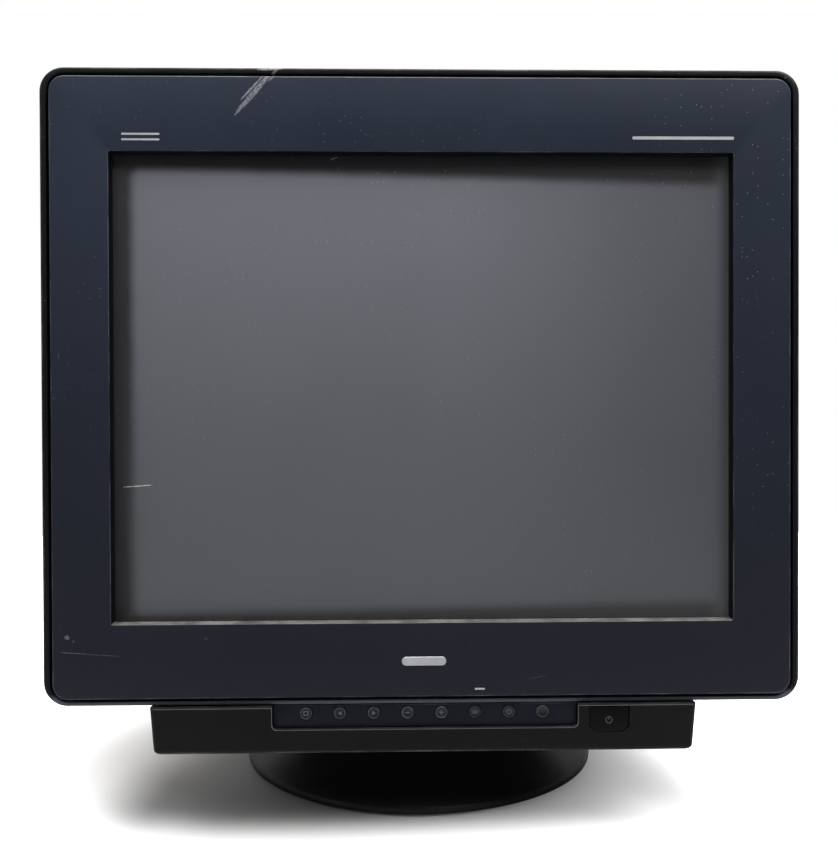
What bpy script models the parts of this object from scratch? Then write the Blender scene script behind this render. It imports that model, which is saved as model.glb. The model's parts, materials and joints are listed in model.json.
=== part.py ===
"""Desktop cathode ray tube monitor on a round tilt and swivel stand, as separate solid pieces.

Units are metres, +Z is up and the screen faces -Y. The origin is on the table, under the middle of the
whole object. Every piece is one object; three empties carry what swivels, what tilts and what stands still.
"""

import math

import bmesh
import bpy
from mathutils import Vector

# ---------------------------------------------------------------- driving dimensions
WIDTH = 0.449
HEIGHT = 0.4615
DEPTH = 0.452
FRONT_Y = -DEPTH / 2
REAR_Y = DEPTH / 2
CABINET_BOTTOM = 0.086
WALL = 0.003
TOUCH = 0.0003  # between two pieces that rest on each other
RUN = 0.0005  # between two pieces that slide on each other

SCREEN_WIDTH = 0.3655  # the opening in the bezel
SCREEN_HEIGHT = 0.2756
SCREEN_Z = 0.2725  # height of the tube's axis
GLASS_FRONT_Y = FRONT_Y + 0.0080
SEAL_Y = FRONT_Y + 0.084  # where the funnel meets the faceplate
NECK_Y = FRONT_Y + 0.268  # where the neck meets the funnel
NECK_END_Y = 0.182
NECK_RADIUS = 0.0146

SWIVEL_Y = FRONT_Y + 0.175
TILT_Z = 0.150  # centre of the ball-shaped bowl
BOWL_RADIUS = 0.130
STAND_RADIUS = 0.1302
CHIN_BOTTOM = 0.0570
CHIN_FRONT_Y = FRONT_Y + 0.0015
PANEL_FRONT_Y = FRONT_Y + 0.0040
TILT_BACK = math.radians(10)
TILT_FORWARD = math.radians(5)

BUTTON_NAMES = ("exit", "left", "right", "minus", "plus", "select", "reset")
BUTTON_PITCH = 0.020
FIRST_BUTTON_X = -0.070
BUTTON_Z = 0.0808
BUTTON_RADIUS = 0.00375
LED_X = FIRST_BUTTON_X + len(BUTTON_NAMES) * BUTTON_PITCH
POWER_X = 0.1092
POWER_Z = 0.0769
PANEL_X = 0.0005
PANEL_WIDTH = 0.1795
PANEL_BOTTOM = 0.0722

CORNER_STEPS = 4
ROUND_STEPS = 24
SMALL_STEPS = 12
STAND_STEPS = 36

# ---------------------------------------------------------------- materials: colour, roughness, metallic
FINISHES = {
    "face_plastic": ((0.032, 0.038, 0.052), 0.55, 0.0),
    "black_plastic": ((0.014, 0.014, 0.015), 0.5, 0.0),
    "stand_plastic": ((0.010, 0.010, 0.011), 0.35, 0.0),
    "key_plastic": ((0.024, 0.026, 0.032), 0.45, 0.0),
    "tinted_glass": ((0.12, 0.12, 0.13), 0.08, 0.0),
    "funnel_coating": ((0.03, 0.03, 0.03), 0.7, 0.0),
    "clear_plastic": ((0.35, 0.36, 0.38), 0.15, 0.0),
    "steel": ((0.55, 0.56, 0.57), 0.35, 1.0),
    "aluminium": ((0.70, 0.70, 0.71), 0.4, 1.0),
    "copper": ((0.55, 0.22, 0.10), 0.4, 1.0),
    "ferrite": ((0.06, 0.06, 0.065), 0.6, 0.0),
    "circuit_board": ((0.08, 0.20, 0.09), 0.6, 0.0),
    "rubber": ((0.02, 0.02, 0.02), 0.85, 0.0),
    "red_rubber": ((0.30, 0.03, 0.02), 0.6, 0.0),
}


def make_materials():
    made = {}
    for name, (colour, roughness, metallic) in FINISHES.items():
        material = bpy.data.materials.new(name)
        material.use_nodes = True
        shader = material.node_tree.nodes["Principled BSDF"]
        shader.inputs["Base Color"].default_value = (*colour, 1.0)
        shader.inputs["Roughness"].default_value = roughness
        shader.inputs["Metallic"].default_value = metallic
        made[name] = material
    return made


# ---------------------------------------------------------------- outlines, as (u, v) points
def rounded_polygon(corners, steps=CORNER_STEPS):
    """An anticlockwise outline through corners (u, v, radius), each rounded by an arc of that radius."""
    points = []
    for i, (u, v, radius) in enumerate(corners):
        corner = Vector((u, v))
        before = (Vector(corners[i - 1][:2]) - corner).normalized()
        after = (Vector(corners[(i + 1) % len(corners)][:2]) - corner).normalized()
        half = before.angle(after) / 2
        centre = corner + (before + after).normalized() * (radius / math.sin(half))
        start = corner + before * (radius / math.tan(half)) - centre
        turn = (math.pi - 2 * half) / steps
        for step in range(steps + 1):
            angle = turn * step
            spoke = Vector(
                (
                    start.x * math.cos(angle) - start.y * math.sin(angle),
                    start.x * math.sin(angle) + start.y * math.cos(angle),
                )
            )
            points.append(tuple(centre + spoke))
    return points


def rounded_rect(width, height, radius, steps=CORNER_STEPS):
    u, v = width / 2, height / 2
    return rounded_polygon([(u, v, radius), (-u, v, radius), (-u, -v, radius), (u, -v, radius)], steps)


def circle(radius, steps=ROUND_STEPS):
    turns = [2 * math.pi * step / steps for step in range(steps)]
    return [(radius * math.cos(turn), radius * math.sin(turn)) for turn in turns]


def facing_y(outline, y, x=0.0, z=0.0):
    """The outline drawn in a plane across Y."""
    return [(x + u, y, z + v) for u, v in outline]


def facing_z(outline, z, x=0.0, y=0.0):
    """The outline drawn in a horizontal plane."""
    return [(x + u, y + v, z) for u, v in outline]


def facing_x(outline, x, y=0.0, z=0.0):
    """The outline drawn in a plane across X."""
    return [(x, y + u, z + v) for u, v in outline]


# ---------------------------------------------------------------- objects
def object_from(bm, name, material, origin):
    """Makes the object with its origin at the given point. The bmesh is in world coordinates."""
    bmesh.ops.recalc_face_normals(bm, faces=bm.faces)
    bmesh.ops.translate(bm, verts=bm.verts, vec=-Vector(origin))
    mesh = bpy.data.meshes.new(name)
    bm.to_mesh(mesh)
    bm.free()
    mesh.shade_smooth()
    mesh.set_sharp_from_angle(angle=math.radians(30))
    made = bpy.data.objects.new(name, mesh)
    made.location = origin
    bpy.context.scene.collection.objects.link(made)
    if material:
        mesh.materials.append(material)
    return made


def skin(name, loops, material=None, origin=(0, 0, 0), ring=False):
    """Covers a row of loops with equal point counts. A ring joins the last loop to the first one;
    otherwise the first and the last loop are each closed by a flat face."""
    bm = bmesh.new()
    rows = [[bm.verts.new(point) for point in loop] for loop in loops]
    pairs = list(zip(rows, rows[1:]))
    if ring:
        pairs.append((rows[-1], rows[0]))
    for first, second in pairs:
        for i in range(len(first)):
            j = (i + 1) % len(first)
            bm.faces.new((first[i], first[j], second[j], second[i]))
    if not ring:
        bm.faces.new(rows[0])
        bm.faces.new(rows[-1])
    return object_from(bm, name, material, origin)


def turned_z(name, profile, material=None, x=0.0, y=0.0, steps=ROUND_STEPS, ring=False):
    """Turns a profile of (radius, z) points about an upright axis."""
    loops = [facing_z(circle(radius, steps), z, x, y) for radius, z in profile]
    return skin(name, loops, material, (x, y, profile[0][1]), ring)


def turned_y(name, profile, material=None, x=0.0, z=SCREEN_Z, steps=ROUND_STEPS, ring=False):
    """Turns a profile of (radius, y) points about an axis along Y."""
    loops = [facing_y(circle(radius, steps), y, x, z) for radius, y in profile]
    return skin(name, loops, material, (x, profile[0][1], z), ring)


def block(name, low, high, material=None):
    """A box between two corners."""
    centre = (Vector(low) + Vector(high)) / 2
    bm = bmesh.new()
    bmesh.ops.create_cube(bm, size=1.0)
    bmesh.ops.scale(bm, verts=bm.verts, vec=Vector(high) - Vector(low))
    bmesh.ops.translate(bm, verts=bm.verts, vec=centre)
    return object_from(bm, name, material, centre)


def joined(name, pieces):
    """Joins several cutters that don't touch into one object."""
    bm = bmesh.new()
    for piece in pieces:
        part = bmesh.new()
        part.from_mesh(piece.data)
        bmesh.ops.translate(part, verts=part.verts, vec=piece.location)
        moved = bpy.data.meshes.new(piece.name)
        part.to_mesh(moved)
        part.free()
        bm.from_mesh(moved)
        bpy.data.meshes.remove(moved)
        bpy.data.objects.remove(piece)
    return object_from(bm, name, None, (0, 0, 0))


def combine(target, other, operation):
    """Adds a Boolean with a helper object, which itself isn't part of the model."""
    modifier = target.modifiers.new(other.name, "BOOLEAN")
    modifier.operation = operation
    modifier.object = other
    modifier.solver = "EXACT"
    other.hide_render = True
    other.display_type = "WIRE"
    return target


def cut(target, *cutters):
    for cutter in cutters:
        combine(target, cutter, "DIFFERENCE")
    return target


def unite(target, *others):
    for other in others:
        combine(target, other, "UNION")
    return target


def empty_at(name, position, parent=None):
    made = bpy.data.objects.new(name, None)
    made.empty_display_size = 0.02
    bpy.context.scene.collection.objects.link(made)
    made.location = position
    if parent:
        hang([made], parent)
    return made


def world_location(thing):
    place = Vector(thing.location)
    return place + world_location(thing.parent) if thing.parent else place


def hang(pieces, parent):
    """Parents pieces to an empty and keeps them where they are."""
    for piece in pieces:
        piece.location = Vector(piece.location) - world_location(parent)
        piece.parent = parent


# ---------------------------------------------------------------- stand: foot, pads, pivot and bowl
def ball_height(radius, distance):
    """Height of the lower half of a ball of this radius, at a distance from the swivel axis."""
    return TILT_Z - math.sqrt(radius**2 - distance**2)


def ball_arc(radius, start, end, steps):
    """(distance, height) points along the lower half of a ball about the tilt centre."""
    distances = [start + (end - start) * step / steps for step in range(steps + 1)]
    return [(distance, ball_height(radius, distance)) for distance in distances]


def make_stand_base(material):
    """Round foot: a flared skirt up to a rim, and a shallow dish inside the rim that carries the bowl."""
    rim_inner, rim_outer, rim_z = 0.0635, 0.0695, 0.036
    hole, skin_wall = 0.0096, 0.003
    ledge_inner, ledge_top, underside = 0.104, 0.0045, 0.0018
    flare = [(0.0765, 0.0335), (0.091, 0.0248), (0.108, 0.0158), (0.1255, 0.0086)]
    outer = [(rim_outer, rim_z), *flare, (STAND_RADIUS, 0.0050), (STAND_RADIUS - 0.0004, underside)]
    ledge = [(ledge_inner, underside), (ledge_inner, ledge_top), (0.1240, ledge_top)]
    inner = [(distance - 0.0015, z - skin_wall) for distance, z in reversed(flare)]
    dish_under = ball_arc(BOWL_RADIUS + RUN + skin_wall, 0.0640, hole, 3)
    dish = ball_arc(BOWL_RADIUS + RUN, hole, rim_inner, 5)
    profile = outer + ledge + inner + dish_under + dish + [(rim_inner + 0.0005, rim_z)]
    return turned_z("stand_base", profile, material, y=SWIVEL_Y, steps=STAND_STEPS, ring=True)


def make_foot_pads(material):
    """Four rubber discs under the foot's ledge."""
    pads = []
    for i in range(4):
        angle = math.radians(45 + 90 * i)
        x, y = 0.114 * math.cos(angle), SWIVEL_Y + 0.114 * math.sin(angle)
        profile = [(0.0085, 0.0), (0.009, 0.0004), (0.009, 0.0018 - TOUCH)]
        pads.append(turned_z(f"foot_pad_{i + 1}", profile, material, x, y, SMALL_STEPS))
    return pads


def make_tilt_bowl(material):
    """Ball-shaped bowl under the monitor, with a flange at the top and a slot for the pivot's stem."""
    flange_radius, flange_top = 0.096, CHIN_BOTTOM - TOUCH
    flange_under = flange_top - WALL
    edge = math.sqrt(BOWL_RADIUS**2 - (TILT_Z - flange_under) ** 2)
    inner_radius = BOWL_RADIUS - WALL
    inner_edge = math.sqrt(inner_radius**2 - (TILT_Z - flange_top) ** 2)
    profile = ball_arc(BOWL_RADIUS, 0.004, edge, 5)
    profile += [(flange_radius, flange_under), (flange_radius, flange_top)]
    profile += ball_arc(inner_radius, inner_edge, 0.004, 5)
    bowl = turned_z("tilt_bowl", profile, material, y=SWIVEL_Y, steps=STAND_STEPS)
    half_width = 0.0098
    front = BOWL_RADIUS * math.sin(TILT_FORWARD) + half_width
    back = BOWL_RADIUS * math.sin(TILT_BACK) + half_width
    slot = rounded_polygon(
        [
            (half_width, back, half_width * 0.98),
            (-half_width, back, half_width * 0.98),
            (-half_width, -front, half_width * 0.98),
            (half_width, -front, half_width * 0.98),
        ]
    )
    loops = [facing_z(slot, z, 0.0, SWIVEL_Y) for z in (0.010, 0.040)]
    return cut(bowl, skin("pivot_slot_cutter", loops))


def make_pivot(materials):
    """Mushroom pivot that holds the bowl down on the foot and lets it slide along its slot, with the
    washer and the screw that draw it down from below."""
    stem, stem_end = 0.0091, 0.0158
    under, over = BOWL_RADIUS - WALL - RUN, BOWL_RADIUS - 2 * WALL - RUN
    cap = 0.030
    screw_hole, hole_top = 0.0028, 0.0240
    profile = [(screw_hole, hole_top), (screw_hole, stem_end), (stem, stem_end), (stem, ball_height(under, stem))]
    profile += [(cap, ball_height(under, cap)), (cap, ball_height(over, cap))]
    profile += ball_arc(over, cap * 0.6, 0.004, 2)
    pivot = turned_z("swivel_pivot", profile, materials["key_plastic"], y=SWIVEL_Y)
    washer_top = stem_end - TOUCH
    washer_under = washer_top - 0.0014
    ring = [(0.0032, washer_under), (0.020, washer_under), (0.020, washer_top), (0.0032, washer_top)]
    washer = turned_z("pivot_washer", ring, materials["steel"], y=SWIVEL_Y, ring=True)
    head_top = washer_under - TOUCH
    shank = 0.0025
    bolt = [(0.0050, head_top - 0.0042), (0.0062, head_top - 0.0034), (0.0062, head_top)]
    bolt += [(shank, head_top), (shank, hole_top - 0.0010)]
    screw = turned_z("pivot_screw", bolt, materials["steel"], y=SWIVEL_Y, steps=SMALL_STEPS)
    return [pivot, washer, screw]


# ---------------------------------------------------------------- casing
def cabinet_loop(y, width, bottom, top, radius, inset=0.0):
    """A rounded rectangle across Y between two heights, drawn inset all round."""
    outline = rounded_rect(width - 2 * inset, top - bottom - 2 * inset, max(radius - inset, 0.001))
    return facing_y(outline, y, 0.0, (top + bottom) / 2)


def screen_loop(y, grow, radius):
    """The screen opening, grown all round."""
    outline = rounded_rect(SCREEN_WIDTH + 2 * grow, SCREEN_HEIGHT + 2 * grow, radius)
    return facing_y(outline, y, 0.0, SCREEN_Z)


FACE_WIDTH = 0.434
FACE_BOTTOM, FACE_TOP = 0.0910, 0.4540
FACE_RADIUS = 0.0090


def make_front_bezel(material):
    """The face frame: a front plate, a skirt behind its outer edge, and walls back to the glass."""
    plate_back, skirt_back = FRONT_Y + WALL, FRONT_Y + 0.018
    glass_side = GLASS_FRONT_Y - TOUCH
    edge = 0.0006

    def outer(y, inset):
        return cabinet_loop(y, FACE_WIDTH, FACE_BOTTOM, FACE_TOP, FACE_RADIUS, inset)

    loops = [
        outer(FRONT_Y, edge),
        screen_loop(FRONT_Y, 0.0, 0.0015),
        screen_loop(glass_side, -0.0004, 0.0012),
        screen_loop(glass_side, 0.0015, 0.003),
        screen_loop(plate_back, 0.0025, 0.003),
        outer(plate_back, WALL),
        outer(skirt_back, WALL),
        outer(skirt_back, 0.0),
        outer(FRONT_Y + edge, 0.0),
    ]
    return skin("front_bezel", loops, material, (0, FRONT_Y, SCREEN_Z), ring=True)


FRAME_FRONT_Y = FRONT_Y + 0.004
FRAME_BACK_Y = FRONT_Y + 0.060
FLANGE_Y = FRONT_Y + 0.0185
FLANGE_THICK = 0.003
LIP_WIDTH = 0.4396  # the ring's own opening, in front of its flange
LIP_BOTTOM, LIP_TOP = 0.0885, 0.4568
LUG_X, LUG_Z = 0.2005, 0.1545  # tube lugs, from the tube's axis


def make_front_frame(material):
    """The black ring that the bezel sits in. Its inner flange carries the tube's four lugs."""
    back_top, back_width = 0.456, 0.442

    def loop(y, inset):
        return cabinet_loop(y, WIDTH, CABINET_BOTTOM, HEIGHT, 0.0145, inset)

    def inner_loop(y, inset=0.0):
        return cabinet_loop(y, LIP_WIDTH, LIP_BOTTOM, LIP_TOP, 0.0110, inset)

    def back_loop(y, inset):
        return cabinet_loop(y, back_width, CABINET_BOTTOM, back_top, 0.013, inset)

    flange = [facing_y(rounded_rect(0.404, 0.312, 0.020), y, 0.0, SCREEN_Z) for y in (FLANGE_Y, FLANGE_Y + FLANGE_THICK)]
    loops = [
        loop(FRAME_FRONT_Y, 0.0008),
        inner_loop(FRAME_FRONT_Y, -0.0006),
        inner_loop(FRAME_FRONT_Y + 0.0008),
        inner_loop(FLANGE_Y),
        flange[0],
        flange[1],
        inner_loop(FLANGE_Y + FLANGE_THICK),
        back_loop(FRAME_BACK_Y, WALL),
        back_loop(FRAME_BACK_Y, 0.0),
        loop(FRAME_FRONT_Y + 0.001, 0.0),
    ]
    frame = skin("front_frame", loops, material, (0, FRAME_FRONT_Y, SCREEN_Z), ring=True)
    holes = [
        turned_y("", [(0.0026, FLANGE_Y - 0.002), (0.0026, FLANGE_Y + 0.006)], None, sx * LUG_X, SCREEN_Z + sz * LUG_Z, 12)
        for sx in (-1, 1)
        for sz in (-1, 1)
    ]
    return cut(frame, joined("lug_hole_cutter", holes))


# Stations along the rear cabinet: y, width, bottom, top, corner radius.
CABINET_STATIONS = (
    (FRAME_BACK_Y + TOUCH, 0.442, 0.086, 0.456, 0.013),
    (-0.097, 0.438, 0.086, 0.452, 0.016),
    (-0.078, 0.424, 0.086, 0.442, 0.026),
    (0.020, 0.352, 0.086, 0.406, 0.036),
    (0.066, 0.326, 0.086, 0.393, 0.038),
    (0.150, 0.292, 0.094, 0.374, 0.038),
    (0.208, 0.276, 0.100, 0.362, 0.034),
    (REAR_Y, 0.258, 0.108, 0.352, 0.026),
)
REAR_WALL = 0.004
VENT_WIDTH = 0.005
VENT_PITCH = 0.0140
CONNECTOR_X, CONNECTOR_Z = -0.020, 0.152
CONNECTOR_WIDTH, CONNECTOR_HEIGHT = 0.124, 0.036
SCREW_X, SCREW_LOW_Z, SCREW_HIGH_Z = 0.104, 0.137, 0.325


def vent_cutters():
    """Upright slots through both sides, and two fields of slots through the top."""
    cutters = []
    for i in range(12):
        y = -0.055 + VENT_PITCH * i
        for side in (-1, 1):
            x = sorted((side * 0.110, side * 0.240))
            cutters.append(block("", (x[0], y, 0.170), (x[1], y + VENT_WIDTH, 0.300)))
    for first_y, last_y, count in ((-0.060, 0.010, 15), (0.028, 0.128, 11)):
        for i in range(count):
            x = VENT_PITCH * (i - (count - 1) / 2)
            low, high = (x - VENT_WIDTH / 2, first_y, 0.330), (x + VENT_WIDTH / 2, last_y, 0.480)
            cutters.append(block("", low, high))
    return joined("vent_cutter", cutters)


def make_rear_cabinet(material):
    """The tapering rear shell, open at the front, with vents, a connector window and screw holes."""
    inner = [cabinet_loop(*station, WALL) for station in CABINET_STATIONS[:-1]]
    last = CABINET_STATIONS[-1]
    inner.append(cabinet_loop(REAR_Y - REAR_WALL, *last[1:], WALL + 0.001))
    outer = [cabinet_loop(*station) for station in CABINET_STATIONS]
    cabinet = skin("rear_cabinet", inner[::-1] + outer, material, (0, REAR_Y, SCREEN_Z))
    window_outline = rounded_rect(CONNECTOR_WIDTH, CONNECTOR_HEIGHT, 0.002, 2)
    window = [facing_y(window_outline, y, CONNECTOR_X, CONNECTOR_Z) for y in (0.210, 0.236)]
    screw_holes = []
    for x in (-SCREW_X, SCREW_X):
        for z in (SCREW_LOW_Z, SCREW_HIGH_Z):
            screw_holes.append(turned_y("", [(0.0024, 0.210), (0.0024, 0.2240), (0.0052, 0.2240), (0.0052, 0.236)], None, x, z, 12))
    openings = joined("rear_opening_cutter", [skin("", window), *screw_holes])
    return cut(cabinet, vent_cutters(), openings)


def belly_loop(z, inset):
    """Plan outline of the belly under the cabinet: wide at the chin, narrower behind."""
    front, back = CHIN_FRONT_Y + inset, 0.062 - inset
    front_half, back_half = 0.1608 - inset, 0.118 - inset
    corners = [
        (back_half, back, 0.020),
        (-back_half, back, 0.020),
        (-front_half, front, 0.003),
        (front_half, front, 0.003),
    ]
    return facing_z(rounded_polygon(corners), z)


def panel_outline(grow=0.0):
    """Front view of the control strip: square at the top, rounded below."""
    half, top = PANEL_WIDTH / 2 + grow, CABINET_BOTTOM - TOUCH + grow
    bottom = PANEL_BOTTOM - grow
    corners = [(half, top, 0.0005), (-half, top, 0.0005), (-half, bottom, 0.003), (half, bottom, 0.003)]
    return rounded_polygon(corners, 3)


def power_outline(grow=0.0):
    """Front view of the power key: a rectangle with its two lower corners cut off."""
    half, top, bottom, bevel = 0.0118 + grow, 0.0082 + grow, -0.0082 - grow, 0.004
    corners = [(half, top), (-half, top), (-half, bottom + bevel), (-half + bevel, bottom)]
    corners += [(half - bevel, bottom), (half, bottom + bevel)]
    return rounded_polygon([(u, v, 0.0008) for u, v in corners], 2)


def make_bottom_cover(material):
    """Tray under the cabinet. Its front wall is the chin, cut out for the control strip and power key."""
    top = CABINET_BOTTOM - TOUCH
    loops = [
        belly_loop(CHIN_BOTTOM, 0.004),
        belly_loop(CHIN_BOTTOM + 0.0012, 0.0018),
        belly_loop(CHIN_BOTTOM + 0.004, 0.0006),
        belly_loop(top, -0.001),
        belly_loop(top, WALL - 0.001),
        belly_loop(CHIN_BOTTOM + WALL, WALL + 0.0006),
    ]
    cover = skin("bottom_cover", loops, material, (0, CHIN_FRONT_Y, CHIN_BOTTOM))
    reach = (CHIN_FRONT_Y - 0.010, CHIN_FRONT_Y + 0.008)
    strip = rounded_polygon(
        [
            (PANEL_WIDTH / 2 + TOUCH, 0.095, 0.0005),
            (-PANEL_WIDTH / 2 - TOUCH, 0.095, 0.0005),
            (-PANEL_WIDTH / 2 - TOUCH, PANEL_BOTTOM - TOUCH, 0.003),
            (PANEL_WIDTH / 2 + TOUCH, PANEL_BOTTOM - TOUCH, 0.003),
        ],
        3,
    )
    strip_cutter = skin("panel_cutter", [facing_y(strip, y, PANEL_X) for y in reach])
    key = power_outline(TOUCH)
    key_cutter = skin("power_hole_cutter", [facing_y(key, y, POWER_X, POWER_Z) for y in reach])
    return cut(cover, strip_cutter, key_cutter)


# ---------------------------------------------------------------- controls
def make_control_panel(material):
    """The inset strip with a round hole for each button and for the lamp."""
    outline = panel_outline()
    loops = [facing_y(outline, y, PANEL_X) for y in (PANEL_FRONT_Y, PANEL_FRONT_Y + WALL)]
    panel = skin("control_panel", loops, material, (PANEL_X, PANEL_FRONT_Y, BUTTON_Z))
    hole = BUTTON_RADIUS + TOUCH
    span = (PANEL_FRONT_Y - 0.005, PANEL_FRONT_Y + 0.010)
    holes = [
        turned_y("", [(hole, y) for y in span], None, FIRST_BUTTON_X + i * BUTTON_PITCH, BUTTON_Z, SMALL_STEPS)
        for i in range(len(BUTTON_NAMES) + 1)
    ]
    return cut(panel, joined("button_hole_cutter", holes))


def make_buttons(material):
    """Seven round keys: a domed cap, a collar behind the strip and a stem towards the switch."""
    back = PANEL_FRONT_Y + WALL + TOUCH
    profile = [
        (BUTTON_RADIUS - 0.0008, PANEL_FRONT_Y - 0.0008),
        (BUTTON_RADIUS, PANEL_FRONT_Y - 0.0003),
        (BUTTON_RADIUS, back),
        (0.0048, back),
        (0.0048, back + 0.001),
        (0.0014, back + 0.001),
        (0.0014, FRONT_Y + 0.0115),
    ]
    buttons = []
    for i, name in enumerate(BUTTON_NAMES):
        x = FIRST_BUTTON_X + i * BUTTON_PITCH
        buttons.append(turned_y(f"button_{name}", profile, material, x, BUTTON_Z, SMALL_STEPS))
    return buttons


def make_led(material):
    """The lamp's round lens, held behind the strip by its collar."""
    back = PANEL_FRONT_Y + WALL + TOUCH
    profile = [
        (BUTTON_RADIUS - 0.0010, PANEL_FRONT_Y - 0.0006),
        (BUTTON_RADIUS, PANEL_FRONT_Y - 0.0002),
        (BUTTON_RADIUS, back),
        (0.0048, back),
        (0.0048, back + 0.001),
        (0.0022, back + 0.001),
        (0.0022, FRONT_Y + 0.0140),
    ]
    return turned_y("led_indicator", profile, material, LED_X, BUTTON_Z, SMALL_STEPS)


def make_power_button(material):
    """The wide key at the right of the strip, with a collar behind the chin and a square stem."""
    front = CHIN_FRONT_Y + 0.0002
    back = CHIN_FRONT_Y + WALL + 0.0012
    levels = [
        (power_outline(-0.0006), front),
        (power_outline(0.0), front + 0.0005),
        (power_outline(0.0), back),
        (power_outline(0.0007), back),
        (power_outline(0.0007), back + 0.001),
    ]
    loops = [facing_y(outline, y, POWER_X, POWER_Z) for outline, y in levels]
    key = skin("power_button", loops, material, (POWER_X, front, POWER_Z))
    stem_low = (POWER_X - 0.002, back, POWER_Z - 0.002)
    stem_high = (POWER_X + 0.002, FRONT_Y + 0.0110, POWER_Z + 0.002)
    return unite(key, block("power_stem", stem_low, stem_high))


def make_control_board(material):
    """Narrow circuit board behind the chin, with one push switch for each key."""
    front = FRONT_Y + 0.017
    board = block("control_board", (-0.082, front, 0.0660), (0.130, front + 0.0016, 0.0850), material)
    places = [(FIRST_BUTTON_X + i * BUTTON_PITCH, BUTTON_Z) for i in range(len(BUTTON_NAMES))]
    places.append((POWER_X, POWER_Z))
    for i, (x, z) in enumerate(places):
        body = block(f"switch_body_{i}", (x - 0.003, front - 0.0030, z - 0.003), (x + 0.003, front + 0.0005, z + 0.003))
        unite(board, body)
    return board


# ---------------------------------------------------------------- the tube
# Stations along the funnel: y, width, height, corner radius.
FUNNEL_STATIONS = (
    (SEAL_Y, 0.386, 0.294, 0.042),
    (-0.120, 0.372, 0.282, 0.050),
    (-0.090, 0.326, 0.250, 0.062),
    (-0.060, 0.262, 0.206, 0.070),
    (-0.030, 0.186, 0.152, 0.066),
    (-0.008, 0.126, 0.110, 0.050),
    (0.012, 0.078, 0.072, 0.034),
    (0.030, 0.044, 0.044, 0.0215),
    (NECK_Y, 2 * NECK_RADIUS, 2 * NECK_RADIUS, NECK_RADIUS * 0.98),
)


def tube_loop(y, width, height, radius, inset=0.0):
    outline = rounded_rect(width - 2 * inset, height - 2 * inset, radius - inset * 0.98)
    return facing_y(outline, y, 0.0, SCREEN_Z)


def make_faceplate(material):
    """The flat-fronted glass panel: a thick face and a skirt back to the seal."""
    skirt = SEAL_Y - TOUCH
    loops = [
        tube_loop(GLASS_FRONT_Y, 0.384, 0.292, 0.018),
        tube_loop(GLASS_FRONT_Y + 0.003, 0.389, 0.297, 0.024),
        tube_loop(GLASS_FRONT_Y + 0.012, 0.390, 0.298, 0.028),
        tube_loop(skirt, 0.387, 0.295, 0.040),
        tube_loop(skirt, 0.367, 0.275, 0.030),
        tube_loop(GLASS_FRONT_Y + 0.022, 0.368, 0.276, 0.020),
        tube_loop(GLASS_FRONT_Y + 0.013, 0.356, 0.264, 0.014),
    ]
    return skin("crt_faceplate", loops, material, (0, GLASS_FRONT_Y, SCREEN_Z))


def make_grille(material):
    """Stretched grille inside the faceplate: a steel frame behind a thin sheet with upright slits."""
    front, sheet, frame = GLASS_FRONT_Y + 0.0155, 0.0006, 0.014
    loops = [
        tube_loop(front, 0.346, 0.254, 0.010),
        tube_loop(front + frame, 0.346, 0.254, 0.010),
        tube_loop(front + frame, 0.330, 0.238, 0.006),
        tube_loop(front + sheet, 0.330, 0.238, 0.006),
    ]
    grille = skin("aperture_grille", loops, material, (0, front, SCREEN_Z))
    slits = []
    for i in range(9):
        x = 0.0360 * (i - 4)
        low, high = (x - 0.015, front - 0.005, SCREEN_Z - 0.112), (x + 0.015, front + 0.005, SCREEN_Z + 0.112)
        slits.append(block("", low, high))
    return cut(grille, joined("slit_cutter", slits))


def make_funnel(material):
    """Glass funnel from the seal to the neck, thinner towards the neck."""
    walls = [0.009 - 0.007 * i / (len(FUNNEL_STATIONS) - 1) for i in range(len(FUNNEL_STATIONS))]
    outer = [tube_loop(*station) for station in FUNNEL_STATIONS]
    inner = [tube_loop(*station, wall) for station, wall in zip(FUNNEL_STATIONS, walls)]
    return skin("crt_funnel", outer + inner[::-1], material, (0, SEAL_Y, SCREEN_Z), ring=True)


def make_neck(material):
    """Glass neck, open towards the funnel and closed behind the gun."""
    front, wall = NECK_Y + TOUCH, 0.0018
    inside = NECK_RADIUS - wall
    profile = [(inside, NECK_END_Y - wall), (inside, front), (NECK_RADIUS, front)]
    profile += [(NECK_RADIUS, NECK_END_Y - 0.002), (NECK_RADIUS - 0.002, NECK_END_Y)]
    return turned_y("crt_neck", profile, material, steps=24)


def make_gun(material):
    """Electron gun: a row of turned electrodes on one axis."""
    spans = [(0.078, 0.0090, 0.030), (0.110, 0.0105, 0.022), (0.134, 0.0085, 0.008), (0.144, 0.0085, 0.006)]
    spans.append((0.152, 0.0070, 0.020))
    profile = []
    for start, radius, length in spans:
        profile += [(0.0035, start), (radius, start), (radius, start + length), (0.0035, start + length)]
    return turned_y("electron_gun", profile[1:-1], material, steps=SMALL_STEPS)


def make_tube_base(material):
    """Plastic base on the end of the neck, with its ring of contact pins."""
    front = NECK_END_Y + TOUCH
    base = turned_y("crt_base", [(0.0140, front), (0.0140, front + 0.003), (0.0040, front + 0.003), (0.0040, front + 0.010)], material, steps=24)
    for i in range(10):
        angle = 2 * math.pi * i / 11
        x, z = 0.0085 * math.cos(angle), SCREEN_Z + 0.0085 * math.sin(angle)
        pin = turned_y(f"base_pin_{i}", [(0.0006, front + 0.002), (0.0006, front + 0.009)], None, x, z, 6)
        unite(base, pin)
    return base


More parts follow.
